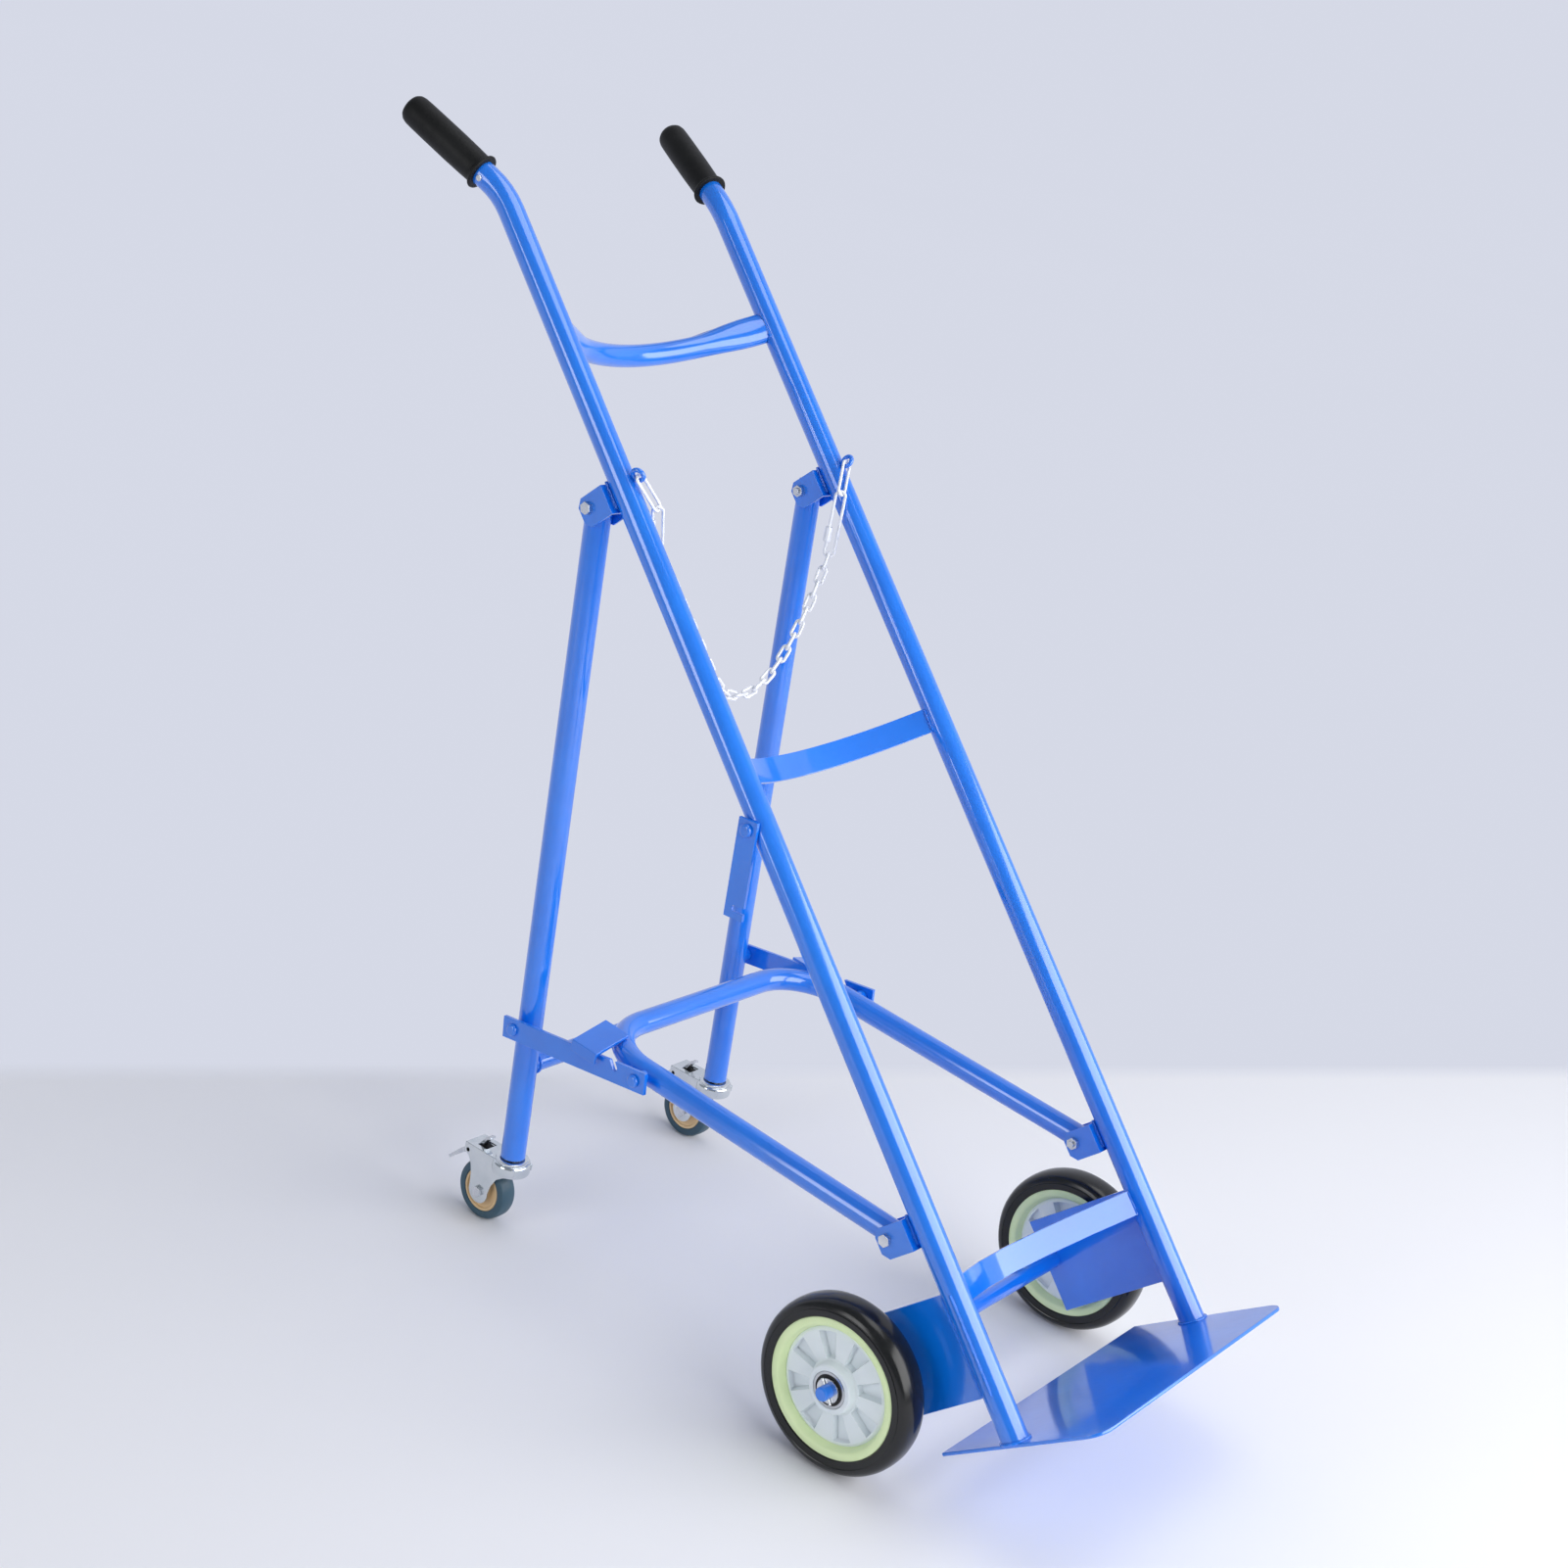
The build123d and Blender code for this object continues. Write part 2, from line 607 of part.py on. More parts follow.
# ---- storage link on the right upright ----------------------------------------------
store_place = beside(store_link_at, store_link_offset)
store_inner = half_track + tube_radius + 1.5
store_sheet = 4.0
store_half_width = 13.0
store_top = 12.0
store_bottom = 12.0
hang_turn = -92.0
with BuildPart() as storage_link:
    with BuildSketch(cross_plane(-store_inner - store_sheet / 2, store_place, hang_turn)):
        with Locations(((store_link_reach + store_bottom - store_top) / 2, 0)):
            Rectangle(store_link_reach + store_bottom + store_top, 2 * store_half_width)
        with Locations((store_link_reach, -store_half_width)):
            SlotCenterToCenter(2 * store_half_width, 7.0, rotation=90, mode=Mode.SUBTRACT)
        Circle(m8_radius + pivot_clearance, mode=Mode.SUBTRACT)
    extrude(amount=store_sheet / 2, both=True)
save(storage_link.part, "storage_link")

with BuildPart() as storage_stud:
    with BuildSketch(cross_plane(-half_track, store_place)):
        Circle(7.0)
    extrude(amount=-(store_inner - pivot_gap - half_track))
    with Locations(*upright_axes):
        Cylinder(tube_radius + weld_gap, cope_length, mode=Mode.SUBTRACT)
    with BuildSketch(cross_plane(-(store_inner - pivot_gap), store_place)):
        Circle(m8_radius)
    extrude(amount=-(store_sheet + 2 * pivot_gap))
    with BuildSketch(cross_plane(-(store_inner + store_sheet + pivot_gap), store_place)):
        Circle(bolt_dome_radius)
    extrude(amount=-bolt_dome)
    fillet(storage_stud.edges().filter_by(GeomType.CIRCLE).sort_by(Axis.X)[0], 3.0)
save(storage_stud.part, "storage_stud")

# ---- casters ------------------------------------------------------------------------
caster_y = leg_foot[0]
fork_inner = caster_tread_width / 2 + 2.0
fork_sheet = 2.5
fork_outer = fork_inner + fork_sheet
fork_top = 92.0
fork_roof = 89.5
race_radius = 20.0
race_height = 3.5
core_radius = 27.0
caster_axle_radius = 4.0
pedal_pivot = (58.0, 83.0)
pedal_pin_radius = 3.0
hex_collar_flats = 17.0
caster_hub = (caster_y + caster_trail, caster_radius)
socket_bottom = leg_foot_height - socket_lip


def caster_plane(x):
    """Square to X with its origin on the floor below the swivel axis; local X runs rearward."""
    return cross_plane(x, (caster_y, 0.0))


with BuildPart() as caster_stems:
    for side_name, side in sides:
        base = Plane(origin=(side * half_track, caster_y, fork_top + race_height + 0.4))
        with BuildSketch(base):
            RegularPolygon(hex_collar_flats / 2, 6, major_radius=False)
        extrude(amount=0.6)
        with BuildSketch(base.offset(0.6)):
            Circle(stem_radius)
        extrude(amount=-(base.origin.Z + 0.6 - fork_roof + 0.4))
        with BuildSketch(Plane(origin=(side * half_track, caster_y, fork_roof - 0.4))):
            Circle(8.0)
        extrude(amount=-3.0)
save(caster_stems.part, "caster_stems")

for side_name, side in sides:
    with BuildPart() as fork:
        with BuildSketch(caster_plane(side * half_track)):
            with BuildLine():
                Polyline((-22, fork_top), (-22, 83), (-15, 74), (6, 68), (19, 46), (22, 34), (26, 28),
                         (38, 28), (43, 34), (46, 60), (54, 74), (66, 78), (66, fork_top),
                         (-22, fork_top))
            make_face()
        extrude(amount=fork_outer, both=True)
        with BuildSketch(caster_plane(side * half_track)):
            with Locations((22, fork_roof / 2)):
                Rectangle(120, fork_roof)
        extrude(amount=fork_inner, both=True, mode=Mode.SUBTRACT)
        with BuildSketch(Plane(origin=(side * half_track, caster_y, fork_top))):
            Circle(race_radius)
        extrude(amount=race_height)
        fillet(fork.edges().filter_by(GeomType.CIRCLE).sort_by(Axis.Z)[-1], 1.5)
        with Locations((side * half_track, caster_y, fork_top)):
            Cylinder(stem_radius + pivot_clearance, 20, mode=Mode.SUBTRACT)
        with BuildSketch(Plane(origin=(side * half_track, caster_y + 44, fork_top))):
            Rectangle(15, 22)
        extrude(amount=-4.0, mode=Mode.SUBTRACT)
        with BuildSketch(caster_plane(side * half_track)):
            with Locations(pedal_pivot):
                Circle(pedal_pin_radius + pivot_clearance)
        extrude(amount=60, both=True, mode=Mode.SUBTRACT)
    save(fork.part, side_name + "_caster_fork")

    with BuildPart() as caster_bolt:
        with BuildSketch(cross_plane(side * half_track - fork_inner, caster_hub)):
            Circle(caster_axle_radius)
        extrude(amount=2 * fork_inner)
        for face in (-1, 1):
            with BuildSketch(cross_plane(side * half_track + face * fork_outer, caster_hub, 15)):
                RegularPolygon(6.5, 6, major_radius=False)
            extrude(amount=face * 4.0)
    save(caster_bolt.part, side_name + "_caster_bolt")

    with BuildPart() as caster_tread:
        with Locations(cross_plane(side * half_track, caster_hub)):
            Cylinder(caster_radius, caster_tread_width)
            Cylinder(core_radius, caster_tread_width, mode=Mode.SUBTRACT)
        fillet(caster_tread.edges().filter_by(lambda e: e.geom_type == GeomType.CIRCLE
                                              and abs(e.radius - caster_radius) < 0.01), 4.0)
    save(caster_tread.part, side_name + "_caster_tread")

    with BuildPart() as caster_core:
        with Locations(cross_plane(side * half_track, caster_hub)):
            Cylinder(core_radius, caster_tread_width - 5.0)
            Cylinder(10.0, caster_tread_width + 2.0)
            Cylinder(caster_axle_radius + pivot_clearance, 40, mode=Mode.SUBTRACT)
    save(caster_core.part, side_name + "_caster_core")

    with BuildPart() as pedal:
        with BuildSketch(caster_plane(side * half_track)):
            with BuildLine():
                Polyline((54, 88), (60, 88), (74, 76), (92, 58), (90, 55), (70, 72), (58, 79),
                         (50, 84), (54, 88))
            make_face()
        extrude(amount=12.0, both=True)
        with BuildSketch(caster_plane(side * half_track)):
            with Locations(pedal_pivot):
                Circle(pedal_pin_radius)
        extrude(amount=fork_outer, both=True)
        with BuildSketch(caster_plane(side * half_track)):
            with BuildLine():
                Polyline((50, 84), (54, 88), (42, 104), (36, 106), (36, 103), (40, 101), (50, 84))
            make_face()
        extrude(amount=5.0, both=True)
    save(pedal.part, side_name + "_brake_pedal")

# ---- chain between the two eyes -----------------------------------------------------
eye_wire = 2.7
eye_ring = 6.6
eye_place = beside(eye_at, eye_offset)
across = Vector(1, 0, 0)
joint_out = 169.0           # where the first loops from the eyes end, off the middle of the cart
joint_height = 913.0
clip_y = axle_y + 511.5


def square_to(direction, toward):
    return (toward - direction * toward.dot(direction)).normalized()


eyes = {}
joints = {}
for side_name, side in sides:
    eyes[side_name] = Vector(side * half_track, *eye_place)
    joints[side_name] = Vector(side * joint_out, clip_y, joint_height)
    away = (joints[side_name] - eyes[side_name]).normalized()
    with BuildPart() as eye:
        with Locations(Plane(origin=eyes[side_name], z_dir=square_to(away, across))):
            Torus(eye_ring, eye_wire)
        with Locations(*upright_axes):
            Cylinder(tube_radius + weld_gap, cope_length, mode=Mode.SUBTRACT)
    save(eye.part, side_name + "_chain_eye")

chain_wire = 1.9
link_pitch = 17.7
link_inner_length = 18.0
link_outer_width = 13.0
sag_scale = 62.0
sag_low_x = 46.0
sag_low_z = 668.0
straight_from_x = -16.0
chain_y = axle_y + 512.0
chain_left_end = 169.0
chain_right_end = -150.0
link_facing = Vector(-0.8, -0.5, 0.33)


def chain_height(x):
    """Height of the hanging chain: a catenary, drawn straight toward the right hook."""
    if x >= straight_from_x:
        return sag_low_z + sag_scale * (cosh((x - sag_low_x) / sag_scale) - 1.0)
    turn = (straight_from_x - sag_low_x) / sag_scale
    edge = sag_low_z + sag_scale * (cosh(turn) - 1.0)
    slope = sqrt(cosh(turn) ** 2 - 1.0)
    return edge + slope * (straight_from_x - x)


def wire_loop(center, along, facing, length, width, wire):
    """A closed loop of round wire: its long way along one direction, its face toward another."""
    half_straight = (length - width) / 2
    half_width = width / 2 - wire
    loop_plane = Plane(origin=center, x_dir=along, z_dir=facing)
    with BuildPart(mode=Mode.PRIVATE) as loop:
        with BuildLine(loop_plane) as loop_path:
            Line((-half_straight, -half_width), (half_straight, -half_width))
            ThreePointArc((half_straight, -half_width), (half_straight + half_width, 0),
                          (half_straight, half_width))
            Line((half_straight, half_width), (-half_straight, half_width))
            ThreePointArc((-half_straight, half_width), (-half_straight - half_width, 0),
                          (-half_straight, -half_width))
        start = loop_plane.from_local_coords((-half_straight, -half_width, 0))
        with BuildSketch(Plane(origin=start, z_dir=along, x_dir=facing)):
            Circle(wire)
        sweep(path=loop_path.wires()[0])
    return loop.part


link_length = link_inner_length + 4 * chain_wire
loops = []
x_here = chain_left_end
turned = True
while x_here > chain_right_end:
    here = Vector(x_here, chain_y, chain_height(x_here))
    step = 0.05
    x_next = x_here
    travelled = 0.0
    while travelled < link_pitch:
        rise = chain_height(x_next - step) - chain_height(x_next)
        travelled += sqrt(step ** 2 + rise ** 2)
        x_next -= step
    there = Vector(x_next, chain_y, chain_height(x_next))
    along = (there - here).normalized()
    facing = square_to(along, link_facing)
    if turned:
        facing = along.cross(facing)
    loops.append(wire_loop((here + there) * 0.5, along, facing, link_length, link_outer_width,
                           chain_wire))
    turned = not turned
    x_here = x_next
chain_links = Compound(children=loops)
save(chain_links, "chain_links")


def loop_between(first, last, past_first, past_last, toward, width, wire):
    """A wire loop that reaches from one place to another and links past each of them."""
    along = (last - first).normalized()
    start = first - along * past_first
    stop = last + along * past_last
    length = (stop - start).length + 2 * wire
    return wire_loop((start + stop) * 0.5, along, square_to(along, toward), length, width, wire)


def sleeve(first, last, share, half_length, radius, wire, toward, width):
    """A threaded sleeve on one straight side of a wire loop."""
    along = (last - first).normalized()
    side_way = along.cross(square_to(along, toward))
    middle = first + (last - first) * share + side_way * (width / 2 - wire)
    with BuildPart(mode=Mode.PRIVATE) as tube:
        with Locations(Plane(origin=middle, z_dir=along)):
            Cylinder(radius, 2 * half_length)
    return tube.part


clip_wire = 1.8
clip_width = 15.2
linked = 2.1                # how far a loop's end reaches past the place where it is linked
linked_to_chain = 2.2
chain_ends = {"left": Vector(chain_left_end, chain_y, chain_height(chain_left_end)),
              "right": Vector(x_here, chain_y, chain_height(x_here))}
hook_facing = facing.cross((joints["right"] - chain_ends["right"]).normalized())
fittings = {"left": ("left_chain_clip", link_facing, 0.68, 4.5),
            "right": ("right_snap_hook", hook_facing, 0.5, 3.6)}
for side_name, (label, toward, share, sleeve_radius) in fittings.items():
    eye_center = eyes[side_name]
    joint = joints[side_name]
    chain_end = chain_ends[side_name]
    upper_facing = (joint - eye_center).cross(across)
    fitting = Compound(children=[
        loop_between(eye_center, joint, 0, linked, upper_facing, clip_width, clip_wire),
        loop_between(joint, chain_end, linked, linked_to_chain, toward, clip_width, clip_wire),
        sleeve(joint, chain_end, share, 9.0, sleeve_radius, clip_wire, toward, clip_width)])
    save(fitting, label)
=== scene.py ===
import json
import math
import bpy
from mathutils import Matrix, Vector


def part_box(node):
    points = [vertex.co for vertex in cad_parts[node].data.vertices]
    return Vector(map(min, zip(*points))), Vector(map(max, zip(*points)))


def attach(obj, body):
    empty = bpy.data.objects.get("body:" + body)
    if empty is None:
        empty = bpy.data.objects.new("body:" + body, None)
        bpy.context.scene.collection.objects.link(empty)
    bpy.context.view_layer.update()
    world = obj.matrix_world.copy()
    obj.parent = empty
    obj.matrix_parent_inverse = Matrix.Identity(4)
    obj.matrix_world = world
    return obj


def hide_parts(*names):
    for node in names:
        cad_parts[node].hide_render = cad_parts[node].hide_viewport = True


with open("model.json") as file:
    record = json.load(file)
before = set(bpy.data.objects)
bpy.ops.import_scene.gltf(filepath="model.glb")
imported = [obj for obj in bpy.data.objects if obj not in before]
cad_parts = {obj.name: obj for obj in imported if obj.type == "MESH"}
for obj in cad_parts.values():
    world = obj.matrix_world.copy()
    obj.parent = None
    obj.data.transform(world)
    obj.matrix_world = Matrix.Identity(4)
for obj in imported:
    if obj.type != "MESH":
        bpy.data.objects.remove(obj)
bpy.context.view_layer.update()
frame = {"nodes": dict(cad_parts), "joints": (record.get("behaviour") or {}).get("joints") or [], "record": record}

joints = {joint["name"]: joint for joint in frame["joints"]}
sides = (("left", 1.0), ("right", -1.0))
mm = 0.001


# ---- small helpers -------------------------------------------------------------------
def joint_place(name):
    return Vector(joints[name]["pos_m"])


def middle_of(node):
    low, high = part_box(node)
    return (Vector(low) + Vector(high)) / 2


def only(obj):
    bpy.ops.object.select_all(action="DESELECT")
    obj.select_set(True)
    bpy.context.view_layer.objects.active = obj


def added(name):
    """The primitive that was just added, renamed."""
    obj = bpy.context.object
    obj.name = name
    obj.data.name = name
    return obj


def settle(obj, place, axis):
    """Turns a piece built along +Z so that it runs along an axis, and moves it to its place."""
    turn = Vector((0, 0, 1)).rotation_difference(Vector(axis))
    obj.matrix_world = Matrix.Translation(place) @ turn.to_matrix().to_4x4()
    only(obj)
    bpy.ops.object.transform_apply(location=True, rotation=True, scale=True)
    return obj


def outward(obj):
    only(obj)
    bpy.ops.object.mode_set(mode="EDIT")
    bpy.ops.mesh.select_all(action="SELECT")
    bpy.ops.mesh.remove_doubles(threshold=0.00001)
    bpy.ops.mesh.normals_make_consistent(inside=False)
    bpy.ops.object.mode_set(mode="OBJECT")


def smooth(obj, angle=32.0):
    only(obj)
    bpy.ops.object.shade_smooth_by_angle(angle=math.radians(angle))
    weighted = obj.modifiers.new("even", "WEIGHTED_NORMAL")
    weighted.keep_sharp = True
    bpy.ops.object.modifier_apply(modifier=weighted.name)


def bevelled(obj, width, segments=2, limit=30.0):
    only(obj)
    bevel = obj.modifiers.new("edge", "BEVEL")
    bevel.width = width
    bevel.segments = segments
    bevel.limit_method = "ANGLE"
    bevel.angle_limit = math.radians(limit)
    bevel.use_clamp_overlap = True
    bpy.ops.object.modifier_apply(modifier=bevel.name)


def dressed(obj, material, body, *nodes):
    """Gives a finished piece its material and its body, and hides the CAD nodes it stands for."""
    obj.data.materials.clear()
    obj.data.materials.append(material)
    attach(obj, body)
    if nodes:
        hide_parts(*nodes)
    return obj


def turned(name, rings, place, axis, segments=96, closed=False, angle=32.0):
    """A lathe-turned piece. Rings are (distance along the axis, radius), one after another.

    A closed piece joins its last ring to its first; an open one gets a flat cap at each end."""
    bpy.ops.object.select_all(action="DESELECT")
    start_at, start_radius = rings[0]
    bpy.ops.mesh.primitive_circle_add(vertices=segments, radius=start_radius,
                                      location=(0, 0, start_at), fill_type="NOTHING")
    obj = added(name)
    bpy.ops.object.transform_apply(location=True, rotation=False, scale=False)
    bpy.ops.object.mode_set(mode="EDIT")
    bpy.ops.mesh.select_mode(type="VERT")
    bpy.ops.mesh.select_all(action="SELECT")
    before_at, before_radius = start_at, start_radius
    for at, radius in rings[1:]:
        bpy.ops.mesh.extrude_edges_move(
            TRANSFORM_OT_translate={"value": (0, 0, at - before_at)})
        ratio = radius / before_radius
        bpy.ops.transform.resize(value=(ratio, ratio, 1.0), center_override=(0, 0, at))
        before_at, before_radius = at, radius
    bpy.ops.mesh.select_all(action="DESELECT")
    bpy.ops.mesh.select_non_manifold()
    if closed:
        bpy.ops.mesh.bridge_edge_loops()
    else:
        bpy.ops.mesh.fill_holes(sides=0)
    bpy.ops.object.mode_set(mode="OBJECT")
    outward(obj)
    smooth(obj, angle)
    return settle(obj, place, axis)


def scaled(pairs):
    """Pairs of millimetres, such as rings or outline points, in metres."""
    return [(first * mm, second * mm) for first, second in pairs]


def both_ways(half, *middle):
    """A ring profile that is alike on both sides of its middle, from one side of it."""
    return ([(-at, radius) for at, radius in half] + list(middle) + list(reversed(half)))


def refined(node, width, angle=32.0, segments=2):
    """A copy of a CAD node with its triangles merged and its sharp edges eased."""
    source = frame["nodes"][node]
    obj = bpy.data.objects.new(node + "_finish", source.data.copy())
    bpy.context.scene.collection.objects.link(obj)
    only(obj)
    bpy.ops.object.mode_set(mode="EDIT")
    bpy.ops.mesh.select_all(action="SELECT")
    bpy.ops.mesh.remove_doubles(threshold=0.00001)
    bpy.ops.mesh.dissolve_limited(angle_limit=math.radians(0.4))
    bpy.ops.mesh.normals_make_consistent(inside=False)
    bpy.ops.object.mode_set(mode="OBJECT")
    if width > 0:
        bevelled(obj, width, segments, limit=38.0)
    smooth(obj, angle)
    return obj


def pick_faces(obj, test):
    """Leaves the piece in edit mode with only the faces that pass a test of centre and normal."""
    only(obj)
    bpy.ops.object.mode_set(mode="EDIT")
    bpy.ops.mesh.select_mode(type="FACE")
    bpy.ops.mesh.select_all(action="DESELECT")
    bpy.ops.object.mode_set(mode="OBJECT")
    for polygon in obj.data.polygons:
        polygon.select = test(polygon.center, polygon.normal)
    bpy.ops.object.mode_set(mode="EDIT")


def drawn(name, outline, thickness):
    """A flat plate drawn point by point in XY, closed to a face and pulled up to its thickness."""
    bpy.ops.object.select_all(action="DESELECT")
    first = Vector((*outline[0], 0))
    bpy.ops.mesh.primitive_plane_add(size=0.001, location=first)
    obj = added(name)
    bpy.ops.object.transform_apply(location=True, rotation=False, scale=False)
    bpy.ops.object.mode_set(mode="EDIT")
    bpy.ops.mesh.select_mode(type="VERT")
    bpy.ops.mesh.select_all(action="SELECT")
    bpy.ops.mesh.merge(type="CENTER")
    here = first
    for point in outline[1:]:
        there = Vector((*point, 0))
        bpy.ops.mesh.extrude_vertices_move(TRANSFORM_OT_translate={"value": there - here})
        here = there
    bpy.ops.mesh.select_all(action="SELECT")
    bpy.ops.mesh.edge_face_add()
    bpy.ops.mesh.extrude_region_move(TRANSFORM_OT_translate={"value": (0, 0, thickness)})
    bpy.ops.object.mode_set(mode="OBJECT")
    outward(obj)
    return obj


def stand(obj, place, right, up):
    """Puts a drawn plate in place: its X runs right, its Y runs up and its thickness follows."""
    right = Vector(right)
    up = Vector(up)
    axes = Matrix((right, up, right.cross(up))).transposed().to_4x4()
    obj.matrix_world = Matrix.Translation(place) @ axes
    only(obj)
    bpy.ops.object.transform_apply(location=True, rotation=True, scale=True)
    outward(obj)
    return obj


def arc(center, radius, start, stop, count):
    """Points of an arc, its angles in degrees."""
    return [(center[0] + radius * math.cos(math.radians(start + (stop - start) * i / count)),
             center[1] + radius * math.sin(math.radians(start + (stop - start) * i / count)))
            for i in range(count + 1)]


def cut_box(obj, place, size):
    """Cuts a box-shaped hole through a piece."""
    bpy.ops.object.select_all(action="DESELECT")
    bpy.ops.mesh.primitive_cube_add(size=1.0, location=place, scale=size)
    cutter = bpy.context.object
    only(obj)
    hole = obj.modifiers.new("hole", "BOOLEAN")
    hole.operation = "DIFFERENCE"
    hole.object = cutter
    bpy.ops.object.modifier_apply(modifier=hole.name)
    bpy.data.objects.remove(cutter)


def roughened(obj, amount, grain_size):
    """Lumps the surface of a weld with a cloud texture, then smooths it over."""
    clouds = bpy.data.textures.get("weld lumps") or bpy.data.textures.new("weld lumps", "CLOUDS")
    clouds.noise_scale = grain_size
    only(obj)
    lumps = obj.modifiers.new("lumps", "DISPLACE")
    lumps.texture = clouds
    lumps.texture_coords = "LOCAL"
    lumps.strength = amount
    bpy.ops.object.modifier_apply(modifier=lumps.name)
    smooth(obj, 80.0)


bead_step = 2.5 * mm
weld_lump = 5.0 * mm


def weld_ring(name, place, axis, radius, body, bead=1.9):
    bpy.ops.object.select_all(action="DESELECT")
    bpy.ops.mesh.primitive_torus_add(major_radius=radius, minor_radius=bead * mm,
                                     major_segments=120, minor_segments=12)
    obj = settle(added(name), place, axis)
    roughened(obj, 1.3 * mm, weld_lump)
    return dressed(obj, weld_bead, body)


def weld_line(name, start, stop, body, bead=1.8):
    """A straight bead between two places, cut across often enough to take its lumps."""
    length = (stop - start).length
    bpy.ops.object.select_all(action="DESELECT")
    bpy.ops.mesh.primitive_cylinder_add(vertices=12, radius=bead * mm, depth=length)
    obj = added(name)
    bpy.ops.object.mode_set(mode="EDIT")
    bpy.ops.mesh.select_mode(type="FACE")
    bpy.ops.mesh.select_all(action="SELECT")
    bpy.ops.mesh.bevel(offset=bead * mm * 0.8, segments=3, affect="EDGES")
    bpy.ops.object.mode_set(mode="OBJECT")
    for cut in range(int(length / bead_step)):
        only(obj)
        bpy.ops.object.mode_set(mode="EDIT")
        bpy.ops.mesh.select_all(action="SELECT")
        bpy.ops.mesh.bisect(plane_co=(0, 0, -length / 2 + (cut + 1) * bead_step),
                            plane_no=(0, 0, 1))
        bpy.ops.object.mode_set(mode="OBJECT")
    settle(obj, (start + stop) / 2, stop - start)
    roughened(obj, 1.2 * mm, weld_lump)
    return dressed(obj, weld_bead, body)


# ---- shared shader groups ------------------------------------------------------------
def new_group(name, inputs, outputs):
    group = bpy.data.node_groups.new(name, "ShaderNodeTree")
    for label, kind, value in inputs:
        socket = group.interface.new_socket(label, in_out="INPUT", socket_type=kind)
        socket.default_value = value
    for label, kind in outputs:
        group.interface.new_socket(label, in_out="OUTPUT", socket_type=kind)
    group_in = group.nodes.new("NodeGroupInput")
    group_out = group.nodes.new("NodeGroupOutput")
    return group, group_in, group_out


def put(tree, kind, **values):
    """A node with its inputs set by name, or linked when the value is another socket."""
    node = tree.nodes.new(kind)
    for label, value in values.items():
        label = label.replace("_", " ")
        if isinstance(value, bpy.types.NodeSocket):
            tree.links.new(value, node.inputs[label])
        else:
            node.inputs[label].default_value = value
    return node


def noise(tree, vector, scale, detail=4.0, roughness=0.55):
    cloud = put(tree, "ShaderNodeTexNoise", Vector=vector, Scale=scale, Detail=detail,
                Roughness=roughness)
    return cloud.outputs["Fac"]


def stepped(tree, value, low, high):
    ramp = tree.nodes.new("ShaderNodeMapRange")
    tree.links.new(value, ramp.inputs["Value"])
    ramp.inputs["From Min"].default_value = low
    ramp.inputs["From Max"].default_value = high
    return ramp.outputs["Result"]


def times(tree, first, second):
    node = tree.nodes.new("ShaderNodeMath")
    node.operation = "MULTIPLY"
    for socket, value in zip(node.inputs, (first, second)):
        if isinstance(value, bpy.types.NodeSocket):
            tree.links.new(value, socket)
        else:
            socket.default_value = value
    return node.outputs["Value"]


def mixed(tree, factor, first, second):
    node = tree.nodes.new("ShaderNodeMix")
    node.data_type = "RGBA"
    for socket, value in ((node.inputs[0], factor), (node.inputs[6], first),
                          (node.inputs[7], second)):
        if isinstance(value, bpy.types.NodeSocket):
            tree.links.new(value, socket)
        else:
            socket.default_value = value
    return node.outputs[2]


def tone_group():
    """Slow drift between two tones of one colour, as pigment and gloss vary over a real part."""
    group, group_in, group_out = new_group(
        "Tone drift",
        (("Tone", "NodeSocketColor", (0.5, 0.5, 0.5, 1)),
         ("Second Tone", "NodeSocketColor", (0.4, 0.4, 0.4, 1)),
         ("Patch Scale", "NodeSocketFloat", 12.0)),
        (("Color", "NodeSocketColor"),))
    place = put(group, "ShaderNodeTexCoord")
    patch = noise(group, place.outputs["Object"], group_in.outputs["Patch Scale"], 3.0)
    fine = stepped(group, patch, 0.35, 0.65)
    color = mixed(group, fine, group_in.outputs["Tone"], group_in.outputs["Second Tone"])
    group.links.new(color, group_out.inputs["Color"])
    return group


def wear_group():
    """Dust that settles on upward faces, and fine rubbed streaks that dull the gloss."""
    group, group_in, group_out = new_group(
        "Dust and rub",
        (("Color", "NodeSocketColor", (0.5, 0.5, 0.5, 1)),
         ("Dust Color", "NodeSocketColor", (0.55, 0.53, 0.5, 1)),
         ("Dust", "NodeSocketFloat", 0.1),
         ("Base Roughness", "NodeSocketFloat", 0.3),
         ("Rub", "NodeSocketFloat", 0.15)),
        (("Color", "NodeSocketColor"), ("Roughness", "NodeSocketFloat")))
    place = put(group, "ShaderNodeTexCoord")
    shape = put(group, "ShaderNodeNewGeometry")
    split = put(group, "ShaderNodeSeparateXYZ", Vector=shape.outputs["Normal"])
    upward = stepped(group, split.outputs["Z"], 0.2, 1.0)
    speck = stepped(group, noise(group, place.outputs["Object"], 160.0, 6.0, 0.7), 0.45, 0.75)
    settled = times(group, times(group, upward, speck), group_in.outputs["Dust"])
    dusty = mixed(group, settled, group_in.outputs["Color"], group_in.outputs["Dust Color"])
    stretched = put(group, "ShaderNodeMapping", Vector=place.outputs["Object"])
    stretched.inputs["Scale"].default_value = (240.0, 90.0, 30.0)
    streak = stepped(group, noise(group, stretched.outputs["Vector"], 1.0, 5.0, 0.65), 0.5, 0.8)
    rubbed = times(group, streak, group_in.outputs["Rub"])
    total = group.nodes.new("ShaderNodeMath")
    total.operation = "ADD"
    total.use_clamp = True
    group.links.new(rubbed, total.inputs[0])
    group.links.new(group_in.outputs["Base Roughness"], total.inputs[1])
    group.links.new(dusty, group_out.inputs["Color"])
    group.links.new(total.outputs["Value"], group_out.inputs["Roughness"])
    return group


